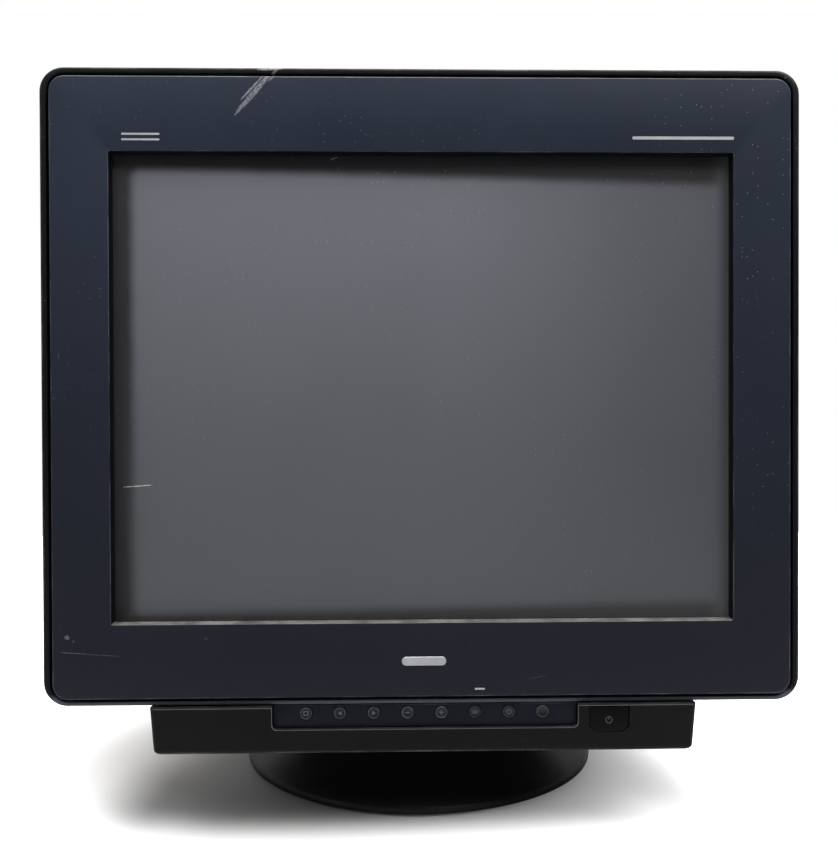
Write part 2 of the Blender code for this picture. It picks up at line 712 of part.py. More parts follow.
def make_band(material):
    """Steel band shrunk round the faceplate, with a lug at each corner."""
    lug_front = FLANGE_Y + FLANGE_THICK + TOUCH
    front, back, thick = lug_front, GLASS_FRONT_Y + 0.0420, 0.0012
    gap = 0.0003
    loops = [
        tube_loop(front, 0.390 + 2 * gap, 0.298 + 2 * gap, 0.0283),
        tube_loop(back, 0.390 + 2 * gap, 0.298 + 2 * gap, 0.036),
        tube_loop(back, 0.390 + 2 * (gap + thick), 0.298 + 2 * (gap + thick), 0.037),
        tube_loop(front, 0.390 + 2 * (gap + thick), 0.298 + 2 * (gap + thick), 0.0293),
    ]
    band = skin("implosion_band", loops, material, (0, front, SCREEN_Z), ring=True)
    for i, (sx, sz) in enumerate(((-1, -1), (-1, 1), (1, -1), (1, 1))):
        corners = [(0.1835, 0.1450), (0.1910, 0.1375), (0.2085, 0.1475), (0.2085, 0.1610), (0.1945, 0.1610)]
        outline = [(sx * u, sz * v) for u, v in corners]
        lug = skin(f"lug_{i}", [facing_y(outline, y, 0.0, SCREEN_Z) for y in (lug_front, lug_front + 0.002)])
        hole = turned_y(f"lug_hole_{i}", [(0.0026, lug_front - 0.002), (0.0026, lug_front + 0.004)], None, sx * LUG_X, SCREEN_Z + sz * LUG_Z, 12)
        unite(band, lug)
        cut(band, hole)
    return band


def make_tube_screws(material):
    """Four screws from behind through the lugs into the frame's flange."""
    lug_back = FLANGE_Y + FLANGE_THICK + TOUCH + 0.002
    profile = [(0.0022, FLANGE_Y - 0.0040), (0.0022, lug_back + TOUCH), (0.0060, lug_back + TOUCH)]
    profile += [(0.0060, lug_back + 0.0015), (0.0042, lug_back + 0.0016), (0.0042, lug_back + 0.0050)]
    screws = []
    for i, (sx, sz) in enumerate(((-1, -1), (1, -1), (1, 1), (-1, 1))):
        screws.append(turned_y(f"tube_screw_{i + 1}", profile, material, sx * LUG_X, SCREEN_Z + sz * LUG_Z, 12))
    return screws


def make_degauss_coil(material):
    """Taped coil laid round the tube behind the band."""
    radius, y = 0.0045, SEAL_Y + 0.002
    loops = []
    for step in range(8):
        angle = 2 * math.pi * step / 8
        grow = 0.0085 + radius * math.cos(angle)
        loops.append(tube_loop(y + radius * math.sin(angle), 0.387 + 2 * grow, 0.295 + 2 * grow, 0.042 + grow))
    return skin("degauss_coil", loops, material, (0, y, SCREEN_Z), ring=True)


def make_yoke(materials):
    """Deflection yoke: the bell of windings round the funnel's throat, and the ferrite core on it."""
    inner = [(0.0755, -0.010), (0.0520, 0.010), (0.0330, 0.028), (0.0180, 0.044), (0.0155, 0.060), (0.0155, 0.074)]
    outer = [(0.0240, 0.074), (0.0240, 0.052), (0.0300, 0.046), (0.0560, 0.014), (0.0800, -0.002), (0.0820, -0.010)]
    coils = turned_y("yoke_coils", inner + outer, materials["copper"], ring=True)
    core = [(0.0308, 0.0462), (0.0568, 0.0142), (0.0700, 0.0160), (0.0480, 0.0520), (0.0330, 0.0520)]
    ferrite = turned_y("yoke_core", core, materials["ferrite"], ring=True)
    return [coils, ferrite]


def make_magnet_rings(material):
    """Clamp with three pairs of ring magnets on the neck behind the yoke."""
    profile = [(0.0149, 0.078), (0.0190, 0.078)]
    for i in range(3):
        start = 0.081 + 0.009 * i
        profile += [(0.0190, start), (0.0260, start), (0.0260, start + 0.006), (0.0190, start + 0.006)]
    profile += [(0.0190, 0.112), (0.0149, 0.112)]
    return turned_y("magnet_rings", profile, material, steps=24, ring=True)


# ---------------------------------------------------------------- behind the neck
def make_neck_parts(materials):
    """Tube socket, the video board that it is soldered to, and the screening can round them."""
    socket_front, board_front = NECK_END_Y + 0.0038, 0.198
    socket_profile = [
        (0.0046, board_front - TOUCH),
        (0.0046, socket_front),
        (0.0072, socket_front),
        (0.0072, socket_front + 0.009),
        (0.0098, socket_front + 0.009),
        (0.0098, socket_front),
        (0.0180, socket_front),
        (0.0180, board_front - TOUCH),
    ]
    socket = turned_y("neck_socket", socket_profile, materials["black_plastic"], steps=24, ring=True)
    board = block("neck_board", (-0.050, board_front, 0.232), (0.050, board_front + 0.0016, 0.322), materials["circuit_board"])
    front, back, sheet = 0.186, 0.210, 0.001
    outline, inside = rounded_rect(0.112, 0.102, 0.004, 2), rounded_rect(0.112 - 2 * sheet, 0.102 - 2 * sheet, 0.003, 2)
    centre_z = 0.277
    loops = [
        facing_y(inside, back - sheet, 0.0, centre_z),
        facing_y(inside, front, 0.0, centre_z),
        facing_y(outline, front, 0.0, centre_z),
        facing_y(outline, back, 0.0, centre_z),
    ]
    shield = skin("neck_shield", loops, materials["steel"], (0, back, centre_z))
    return [socket, board, shield]


# ---------------------------------------------------------------- chassis and boards
TRAY_Z = 0.1075
TRAY_HALF = 0.100
BRACKET_Y = 0.212
BRACKET_HALF = 0.114


def make_chassis(material):
    """Steel tray under the boards, folded up at the sides and at the back, where the cabinet screws on."""
    sheet, front, back = 0.0015, -0.110, BRACKET_Y
    tray = block("chassis_tray", (-TRAY_HALF, front, TRAY_Z), (TRAY_HALF, back + sheet, TRAY_Z + sheet), material)
    for side, name in ((-1, "left_fold"), (1, "right_fold")):
        x = sorted((side * TRAY_HALF, side * (TRAY_HALF - sheet)))
        unite(tray, block(name, (x[0], front, TRAY_Z), (x[1], back + sheet, TRAY_Z + 0.016)))
    upright = block("rear_fold", (-TRAY_HALF, back, TRAY_Z), (TRAY_HALF, back + sheet, 0.130))
    bracket = block("rear_bracket", (-BRACKET_HALF, back, 0.126), (BRACKET_HALF, back + sheet, 0.340))
    unite(bracket, upright)
    unite(tray, bracket)
    window = block("bracket_window", (-0.086, back - 0.005, 0.178), (0.086, back + 0.007, 0.316))
    inlet = block("bracket_inlet_gap", (-0.090, back - 0.005, 0.128), (0.050, back + 0.007, 0.172))
    holes = [
        turned_y("", [(0.0026, back - 0.004), (0.0026, back + 0.006)], None, x, z, 12)
        for x in (-SCREW_X, SCREW_X)
        for z in (SCREW_LOW_Z, SCREW_HIGH_Z)
    ]
    return cut(tray, window, inlet, joined("bracket_hole_cutter", holes))


BOARD_Z = 0.1145
BOARD_TOP = BOARD_Z + 0.0016


def heat_sink_outline(fins, pitch):
    """Comb-shaped section of a finned plate, standing in a plane seen from above."""
    back, root, tip, fin = 0.0, 0.003, 0.016, 0.0016
    points = [((fins - 1) * pitch + fin, back), (0.0, back)]
    outline = []
    for i in range(fins):
        start = i * pitch
        outline += [(start, tip), (start + fin, tip)]
        if i < fins - 1:
            outline += [(start + fin, root), (start + pitch, root)]
    return points[::-1] + outline[::-1]


def make_boards(materials):
    """Main board with the parts on it that stand out: transformers, capacitor and heat sinks."""
    main = block("main_board", (-0.097, -0.095, BOARD_Z), (0.097, 0.198, BOARD_TOP), materials["circuit_board"])
    floor = BOARD_TOP + TOUCH
    flyback_levels = [(0.044, 0.050, floor), (0.044, 0.050, floor + 0.048), (0.032, 0.038, floor + 0.060)]
    flyback_loops = [facing_z(rounded_rect(w, d, 0.006, 3), z, 0.068, 0.060) for w, d, z in flyback_levels]
    flyback = skin("flyback_transformer", flyback_loops, materials["black_plastic"], (0.068, 0.060, floor))
    spout = turned_z("flyback_spout", [(0.006, floor + 0.055), (0.006, floor + 0.068)], None, 0.068, 0.060, 12)
    unite(flyback, spout)
    power = block("power_transformer", (-0.092, 0.020, floor), (-0.046, 0.064, floor + 0.040), materials["copper"])
    core = block("transformer_core", (-0.087, 0.012, floor + 0.006), (-0.051, 0.072, floor + 0.034))
    unite(power, core)
    can = [(0.0165, floor), (0.0165, floor + 0.003), (0.0158, floor + 0.005), (0.0165, floor + 0.007)]
    can += [(0.0165, floor + 0.044), (0.0150, floor + 0.0455)]
    capacitor = turned_z("filter_capacitor", can, materials["black_plastic"], -0.050, 0.110, 24)
    made = [main, flyback, power, capacitor]
    for name, x, y in (("heat_sink_left", -0.094, 0.150), ("heat_sink_right", 0.030, 0.120)):
        outline = heat_sink_outline(6, 0.010)
        loops = [facing_z(outline, z, x, y) for z in (floor, floor + 0.052)]
        made.append(skin(name, loops, materials["aluminium"], (x, y, floor)))
    return made


def make_anode(materials):
    """Rubber cap over the tube's anode contact, and the lead that brings it the flyback's high voltage."""
    y, z = -0.070, SCREEN_Z + 0.1103
    slope = math.atan2(0.022, 0.030)
    cap = turned_z("anode_cap", [(0.015, 0.0012), (0.013, 0.004), (0.006, 0.0065), (0.004, 0.012)], materials["red_rubber"], steps=20)
    cap.location = (0.0, y, z)
    cap.rotation_euler = (-slope, 0.0, 0.0)
    for vertex in cap.data.vertices:
        vertex.co.z += 0.0012
    route = [
        (0.000, -0.0605, 0.3980),
        (0.004, -0.056, 0.4040),
        (0.020, -0.044, 0.4060),
        (0.048, -0.026, 0.3960),
        (0.078, -0.006, 0.3720),
        (0.098, 0.014, 0.3350),
        (0.104, 0.032, 0.2900),
        (0.098, 0.046, 0.2450),
        (0.084, 0.055, 0.2120),
        (0.072, 0.0595, 0.1950),
        (0.068, 0.060, 0.1850),
    ]
    curve = bpy.data.curves.new("anode_lead", "CURVE")
    curve.dimensions = "3D"
    curve.bevel_depth = 0.002
    curve.bevel_resolution = 1
    curve.use_fill_caps = True
    points = smooth_route(route, 3)
    spline = curve.splines.new("POLY")
    spline.points.add(len(points) - 1)
    for point, place in zip(spline.points, points):
        point.co = (*place, 1.0)
    curve.materials.append(materials["red_rubber"])
    lead = bpy.data.objects.new("anode_lead", curve)
    bpy.context.scene.collection.objects.link(lead)
    return [cap, lead]


def smooth_route(route, between):
    """Points along a Catmull-Rom curve through the route, with this many steps between two of its points."""
    knots = [Vector(point) for point in route]
    knots = [2 * knots[0] - knots[1], *knots, 2 * knots[-1] - knots[-2]]
    points = []
    for a, b, c, d in zip(knots, knots[1:], knots[2:], knots[3:]):
        for step in range(between):
            t = step / between
            points.append(0.5 * ((2 * b) + (c - a) * t + (2 * a - 5 * b + 4 * c - d) * t**2 + (3 * b - a - 3 * c + d) * t**3))
    return [*points, knots[-2]]


# ---------------------------------------------------------------- rear connectors and screws
PLATE_Y = REAR_Y - REAR_WALL - TOUCH - 0.0015
INLET_X, SOCKET_X = -0.054, 0.010


def make_connectors(materials):
    """Metal plate behind the window in the rear wall, with the mains inlet and the video socket in it."""
    half_width, half_height = CONNECTOR_WIDTH / 2 + 0.003, CONNECTOR_HEIGHT / 2 + 0.003
    low = (CONNECTOR_X - half_width, PLATE_Y, CONNECTOR_Z - half_height)
    high = (CONNECTOR_X + half_width, PLATE_Y + 0.0015, CONNECTOR_Z + half_height)
    plate = block("connector_plate", low, high, materials["steel"])
    inlet_hole = rounded_rect(0.0276, 0.0206, 0.0015, 2)
    socket_hole = rounded_rect(0.0200, 0.0110, 0.0020, 2)
    reach = (PLATE_Y - 0.004, PLATE_Y + 0.006)
    cut(
        plate,
        skin("inlet_hole_cutter", [facing_y(inlet_hole, y, INLET_X, CONNECTOR_Z) for y in reach]),
        skin("socket_hole_cutter", [facing_y(socket_hole, y, SOCKET_X, CONNECTOR_Z) for y in reach]),
    )
    return [plate, make_inlet(materials["black_plastic"]), make_video_socket(materials["steel"])]


def make_inlet(material):
    """Three-pin mains inlet: a flanged housing with a cavity and three flat pins standing in it."""
    face, mouth, back = PLATE_Y + 0.0015 + TOUCH, REAR_Y - 0.0005, 0.204
    body, flange = rounded_rect(0.0270, 0.0200, 0.0012, 2), rounded_rect(0.0320, 0.0250, 0.0020, 2)
    levels = [(body, back), (body, face), (flange, face), (flange, face + 0.0022), (body, face + 0.0022), (body, mouth)]
    inlet = skin("power_inlet", [facing_y(outline, y, INLET_X, CONNECTOR_Z) for outline, y in levels], material, (INLET_X, mouth, CONNECTOR_Z))
    cavity = rounded_polygon(
        [(0.0121, 0.0044, 0.0005), (0.0083, 0.0082, 0.0005), (-0.0083, 0.0082, 0.0005), (-0.0121, 0.0044, 0.0005), (-0.0121, -0.0082, 0.0005), (0.0121, -0.0082, 0.0005)],
        1,
    )
    floor = mouth - 0.0160
    cut(inlet, skin("inlet_cavity_cutter", [facing_y(cavity, y, INLET_X, CONNECTOR_Z) for y in (floor, mouth + 0.005)]))
    for i, (x, z) in enumerate(((-0.007, -0.0010), (0.0, 0.0040), (0.007, -0.0010))):
        low = (INLET_X + x - 0.001, floor - 0.001, CONNECTOR_Z + z - 0.002)
        high = (INLET_X + x + 0.001, mouth - 0.003, CONNECTOR_Z + z + 0.002)
        unite(inlet, block(f"inlet_pin_{i}", low, high))
    return inlet


def make_video_socket(material):
    """Fifteen-way video socket: body, flange, D-shaped shell and the two screw posts beside it."""
    face, mouth, back = PLATE_Y + 0.0015 + TOUCH, REAR_Y, 0.207
    body, flange = rounded_rect(0.0190, 0.0100, 0.0012, 2), rounded_rect(0.0310, 0.0125, 0.0015, 2)
    shell = rounded_polygon([(0.0086, 0.0040, 0.0016), (-0.0086, 0.0040, 0.0016), (-0.0074, -0.0040, 0.0016), (0.0074, -0.0040, 0.0016)], 2)
    body_loop = [facing_y(body, y, SOCKET_X, CONNECTOR_Z) for y in (back, face)]
    flange_loops = [facing_y(flange, y, SOCKET_X, CONNECTOR_Z) for y in (face, face + 0.001)]
    socket = skin("video_socket", body_loop + flange_loops, material, (SOCKET_X, mouth, CONNECTOR_Z))
    rim = skin("socket_shell", [facing_y(shell, y, SOCKET_X, CONNECTOR_Z) for y in (face + 0.0005, mouth)])
    posts = [
        turned_y(f"socket_post_{i}", [(0.0024, face + 0.0005), (0.0024, mouth - 0.0005)], None, SOCKET_X + x, CONNECTOR_Z, 6)
        for i, x in enumerate((-0.0125, 0.0125))
    ]
    return unite(socket, rim, *posts)


def make_cabinet_screws(material):
    """Four screws through the rear wall into the chassis bracket, their heads sunk in the wall."""
    seat = 0.2240 + TOUCH
    profile = [(0.0020, BRACKET_Y - 0.004), (0.0020, seat), (0.0045, seat), (0.0045, seat + 0.0008), (0.0030, seat + 0.0015)]
    screws = []
    for i, (x, z) in enumerate(((-SCREW_X, SCREW_LOW_Z), (SCREW_X, SCREW_LOW_Z), (SCREW_X, SCREW_HIGH_Z), (-SCREW_X, SCREW_HIGH_Z))):
        screws.append(turned_y(f"cabinet_screw_{i + 1}", profile, material, x, z, 12))
    return screws


# ---------------------------------------------------------------- assembly
def main():
    for thing in list(bpy.data.objects):
        bpy.data.objects.remove(thing)
    materials = make_materials()

    stand = empty_at("stand", (0, SWIVEL_Y, 0))
    swivel = empty_at("swivel_axis", (0, SWIVEL_Y, 0.020), stand)
    head = empty_at("tilt_centre", (0, SWIVEL_Y, TILT_Z), swivel)

    hang([make_stand_base(materials["stand_plastic"]), *make_foot_pads(materials["rubber"])], stand)
    hang(make_pivot(materials), swivel)

    casing = [
        make_front_bezel(materials["face_plastic"]),
        make_front_frame(materials["black_plastic"]),
        make_bottom_cover(materials["black_plastic"]),
        make_tilt_bowl(materials["stand_plastic"]),
        make_rear_cabinet(materials["black_plastic"]),
    ]
    controls = [
        make_control_panel(materials["face_plastic"]),
        *make_buttons(materials["key_plastic"]),
        make_led(materials["clear_plastic"]),
        make_power_button(materials["key_plastic"]),
        make_control_board(materials["circuit_board"]),
    ]
    tube = [
        make_faceplate(materials["tinted_glass"]),
        make_grille(materials["steel"]),
        make_funnel(materials["funnel_coating"]),
        make_neck(materials["tinted_glass"]),
        make_gun(materials["steel"]),
        make_tube_base(materials["black_plastic"]),
        make_band(materials["steel"]),
        *make_tube_screws(materials["steel"]),
        make_degauss_coil(materials["rubber"]),
        *make_yoke(materials),
        make_magnet_rings(materials["black_plastic"]),
        *make_neck_parts(materials),
    ]
    electronics = [make_chassis(materials["steel"]), *make_boards(materials), *make_anode(materials)]
    rear = [*make_connectors(materials), *make_cabinet_screws(materials["steel"])]
    hang(casing + controls + tube + electronics + rear, head)


main()
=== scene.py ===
"""Looks for the desktop cathode ray tube monitor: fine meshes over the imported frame, procedural materials,
a pale floor, soft studio light and the camera."""

import json
import math

import bmesh
import bpy
from mathutils import Matrix, Vector


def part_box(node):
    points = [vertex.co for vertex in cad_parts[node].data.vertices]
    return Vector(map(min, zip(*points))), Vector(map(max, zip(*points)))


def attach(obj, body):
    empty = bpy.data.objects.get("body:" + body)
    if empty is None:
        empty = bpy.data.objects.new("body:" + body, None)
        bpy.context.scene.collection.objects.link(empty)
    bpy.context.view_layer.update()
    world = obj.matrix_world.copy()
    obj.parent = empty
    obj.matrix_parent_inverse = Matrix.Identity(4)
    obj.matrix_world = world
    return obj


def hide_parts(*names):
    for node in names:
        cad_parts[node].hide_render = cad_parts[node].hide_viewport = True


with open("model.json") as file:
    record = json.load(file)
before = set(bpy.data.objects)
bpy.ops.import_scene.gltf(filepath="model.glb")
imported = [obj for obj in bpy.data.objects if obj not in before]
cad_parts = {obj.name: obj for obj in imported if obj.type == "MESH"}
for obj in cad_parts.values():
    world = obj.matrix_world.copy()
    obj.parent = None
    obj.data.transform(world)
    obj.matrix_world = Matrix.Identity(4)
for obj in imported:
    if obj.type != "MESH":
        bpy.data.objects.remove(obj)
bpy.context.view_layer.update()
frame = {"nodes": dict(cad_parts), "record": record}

# ---------------------------------------------------------------- places, read from the imported frame or given as numbers
bezel_low, bezel_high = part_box("front_bezel")
rim_low, rim_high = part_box("front_frame")
FRONT = bezel_low.y
WIDTH = rim_high.x - rim_low.x
BOTTOM, TOP = rim_low.z, rim_high.z
RIM_FRONT, RIM_BACK = rim_low.y, rim_high.y
SWIVEL = (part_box("stand_base")[0].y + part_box("stand_base")[1].y) / 2
CHIN_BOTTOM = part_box("bottom_cover")[0].z
CHIN_FRONT = FRONT + 0.0015
SCREEN_Z = 0.2725
SCREEN_W, SCREEN_H = 0.3655, 0.2756
FACE_W, FACE_BOTTOM, FACE_TOP = bezel_high.x - bezel_low.x, bezel_low.z, bezel_high.z
LIP_W, LIP_BOTTOM, LIP_TOP = 0.4396, 0.0885, 0.4568
GLASS_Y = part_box("crt_faceplate")[0].y
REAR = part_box("rear_cabinet")[1].y
WALL = 0.003
TILT_Z = 0.150  # the height of the tilt axis, which is the centre of the bowl's ball
CHIN_TOP = BOTTOM - 0.0003
STRIP_CUT_TOP = 0.095  # the top of the chin's cut-out for the strip
JOINT_W, JOINT_TOP, JOINT_RADIUS = 0.442, 0.456, 0.013  # where the rim meets the rear cabinet
CABINET_BOTTOM = 0.086
KEY_RADIUS = 0.00375
panel_low, panel_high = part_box("control_panel")
power_low, power_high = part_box("power_button")
KEYS = ("exit", "left", "right", "minus", "plus", "select", "reset")


# ---------------------------------------------------------------- shader helpers
class Nodes:
    """Short names for building a node tree."""

    def __init__(self, name):
        self.material = bpy.data.materials.new(name)
        self.material.use_nodes = True
        self.tree = self.material.node_tree
        self.shader = self.tree.nodes["Principled BSDF"]
        coordinates = self.new("ShaderNodeTexCoord").outputs
        self.place = coordinates["Object"]
        self.xyz = self.new("ShaderNodeSeparateXYZ", self.place).outputs
        self.facing = self.new("ShaderNodeSeparateXYZ", coordinates["Normal"]).outputs

    def new(self, kind, *inputs, **settings):
        node = self.tree.nodes.new(kind)
        for key, value in settings.items():
            setattr(node, key, value)
        for socket, value in zip(node.inputs, inputs):
            self.put(socket, value)
        return node

    def put(self, socket, value):
        if value is None:
            return
        if isinstance(value, bpy.types.NodeSocket):
            self.tree.links.new(value, socket)
        elif isinstance(value, (tuple, list)) and socket.type == "RGBA" and len(value) == 3:
            socket.default_value = (*value, 1.0)
        else:
            socket.default_value = value

    def math(self, operation, *values, clamp=False):
        return self.new("ShaderNodeMath", *values, operation=operation, use_clamp=clamp).outputs[0]

    def noise(self, scale, detail=2.0, roughness=0.5, stretch=None):
        place = self.place
        if stretch:
            place = self.new("ShaderNodeVectorMath", place, stretch, operation="MULTIPLY").outputs[0]
        node = self.new("ShaderNodeTexNoise", place)
        self.put(node.inputs["Scale"], scale)
        self.put(node.inputs["Detail"], detail)
        self.put(node.inputs["Roughness"], roughness)
        return node.outputs["Fac"]

    def band(self, value, low, high, start=0.0, end=1.0):
        node = self.new("ShaderNodeMapRange", value, low, high, start, end)
        node.interpolation_type = "SMOOTHSTEP"
        return node.outputs[0]

    def mix(self, factor, first, second):
        node = self.new("ShaderNodeMix", data_type="RGBA")
        self.put(node.inputs["Factor"], factor)
        self.put(node.inputs["A"], first)
        self.put(node.inputs["B"], second)
        return node.outputs["Result"]

    def bump(self, height, distance, strength=1.0, below=None):
        node = self.new("ShaderNodeBump")
        self.put(node.inputs["Height"], height)
        node.inputs["Distance"].default_value = distance
        node.inputs["Strength"].default_value = strength
        if below:
            self.put(node.inputs["Normal"], below)
        return node.outputs["Normal"]

    def specks(self, scale, size, share):
        """Small specks on the front, in this share of the cells of a Voronoi pattern, gathered in loose patches."""
        front = self.new("ShaderNodeCombineXYZ", self.xyz[0], self.xyz[2], 0.0).outputs[0]
        cells = self.new("ShaderNodeTexVoronoi", front, voronoi_dimensions="2D")
        self.put(cells.inputs["Scale"], scale)
        near = self.band(cells.outputs["Distance"], size, size * 0.5)
        chosen = self.math("LESS_THAN", self.new("ShaderNodeSeparateColor", cells.outputs["Color"]).outputs[0], share)
        patch = self.band(self.noise(11, 3.0, 0.6), 0.45, 0.65, 0.15, 1.0)
        patch = self.math("MULTIPLY", patch, self.band(self.xyz[2], 0.09, 0.25, 0.15, 1.0))
        flat = self.math("GREATER_THAN", self.math("ABSOLUTE", self.facing[1]), 0.7)
        return self.math("MULTIPLY", self.math("MULTIPLY", near, chosen), self.math("MULTIPLY", patch, flat))

    def stroke(self, start, end, width, ragged=0.5):
        """A scratch on the front between two (x, z) points: grainy, ragged and tapering to its ends."""
        flat = self.new("ShaderNodeCombineXYZ", self.xyz[0], 0.0, self.xyz[2]).outputs[0]
        a, b = Vector((start[0], 0, start[1])), Vector((end[0], 0, end[1]))
        away = self.new("ShaderNodeVectorMath", flat, a, operation="SUBTRACT").outputs[0]
        along = self.new("ShaderNodeVectorMath", away, b - a, operation="DOT_PRODUCT").outputs["Value"]
        share = self.math("DIVIDE", along, (b - a).length_squared, clamp=True)
        foot = self.new("ShaderNodeVectorMath", b - a, operation="SCALE")
        self.put(foot.inputs["Scale"], share)
        gap = self.new("ShaderNodeVectorMath", away, foot.outputs[0], operation="SUBTRACT").outputs[0]
        distance = self.new("ShaderNodeVectorMath", gap, operation="LENGTH").outputs["Value"]
        edge = self.math("MULTIPLY_ADD", self.noise(420, 3.0, 0.7), -2 * ragged * width, ragged * width)
        taper = self.math("MULTIPLY", share, self.math("SUBTRACT", 1.0, share))
        taper = self.math("POWER", self.math("MULTIPLY", taper, 4.0), 0.6)
        inside = self.math("DIVIDE", self.math("ADD", distance, edge), self.math("MAXIMUM", taper, 0.05))
        grainy = self.band(self.noise(1100, 2.0, 0.6), 0.38, 0.58, 0.35, 1.0)
        return self.math("MULTIPLY", self.band(inside, width, width * 0.3), grainy)

    def finish(self, **values):
        for name, value in values.items():
            self.put(self.shader.inputs[name.replace("_", " ").title().replace("Ior", "IOR")], value)
        return self.material


def up_facing(nodes, low=0.35, high=0.95):
    return nodes.band(nodes.facing[2], low, high)


def moulded_plastic(
    name, colour, rough, grain, grain_scale, dust, worn_and_highlit_edge_colour, marks=(), wall=None, shine=0.3, painted_light_by_height=None
):
    """Textured moulded plastic with uneven sheen, specks, marks, dust on what faces up and edge wear, both partly
    painted highlights.

    wall is a painted shade: the darker colour of faces that don't face front or back. painted_light_by_height
    is a colour that the base turns to between two heights: painted shade towards the bottom of the face, painted
    light on the rim's bottom band. marks are strokes (start, end, width, strength, colour) on the front.
    """
    n = Nodes(name)
    tone = n.band(n.noise(9, 3.0, 0.6), 0.25, 0.75)
    fine = n.noise(2600, 2.0, 0.6)
    darker, lighter = tuple(c * 0.90 for c in colour), tuple(c * 1.10 for c in colour)
    base = n.mix(tone, darker, lighter)
    # painted light by height: the face turns darker and less blue towards the bottom (painted shade), the rim's bottom
    # band much lighter (painted light)
    if painted_light_by_height:
        painted_colour, high_z, low_z = painted_light_by_height
        base = n.mix(n.band(n.xyz[2], high_z, low_z), base, painted_colour)
    base = n.mix(n.band(fine, 0.55, 0.8, 0.0, 0.35), base, tuple(min(1.0, c * 1.7 + 0.004) for c in colour))
    # painted shade: faces that don't face front or back, such as the opening's walls, take the darker wall colour
    if wall:
        forward = n.math("ABSOLUTE", n.facing[1])
        base = n.mix(n.band(forward, 0.3, 0.8), wall, base)
    # dust on up-facing faces, partly a painted highlight: it also lightens the bottom lip of the screen opening
    dust_and_top_highlight = n.math("MULTIPLY", up_facing(n), n.band(n.noise(45, 4.0, 0.7), 0.3, 0.8, 0.3, 1.0))
    base = n.mix(n.math("MULTIPLY", dust_and_top_highlight, dust), base, (0.22, 0.21, 0.20))
    # marked edges turn lighter: partly wear, partly a painted edge highlight
    edge = n.new("ShaderNodeAttribute", attribute_name="edge").outputs["Fac"]
    worn_and_highlit_edges = n.math("MULTIPLY", edge, n.band(n.noise(28, 6.0, 0.75), 0.38, 0.75, 0.0, 0.9))
    base = n.mix(worn_and_highlit_edges, base, worn_and_highlit_edge_colour)
    base = n.mix(n.math("MULTIPLY", n.specks(330, 0.120, 0.07), 0.75), base, (0.20, 0.205, 0.22))
    for start, end, width, strength, shade in marks:
        reach = n.band(n.xyz[1], FRONT + 0.012, FRONT + 0.007, 0.0, strength)
        base = n.mix(n.math("MULTIPLY", n.stroke(start, end, width), reach), base, shade)
    smear = n.band(n.noise(14, 4.0, 0.65, (1, 1, 0.35)), 0.3, 0.75, rough - 0.06, rough + 0.08)
    height = n.noise(grain_scale, 2.0, 0.55)
    normal = n.bump(height, grain, 0.9, n.bump(n.noise(140, 2.0, 0.5), 0.00004, 0.35))
    return n.finish(base_color=base, roughness=smear, normal=normal, specular_ior_level=shine)


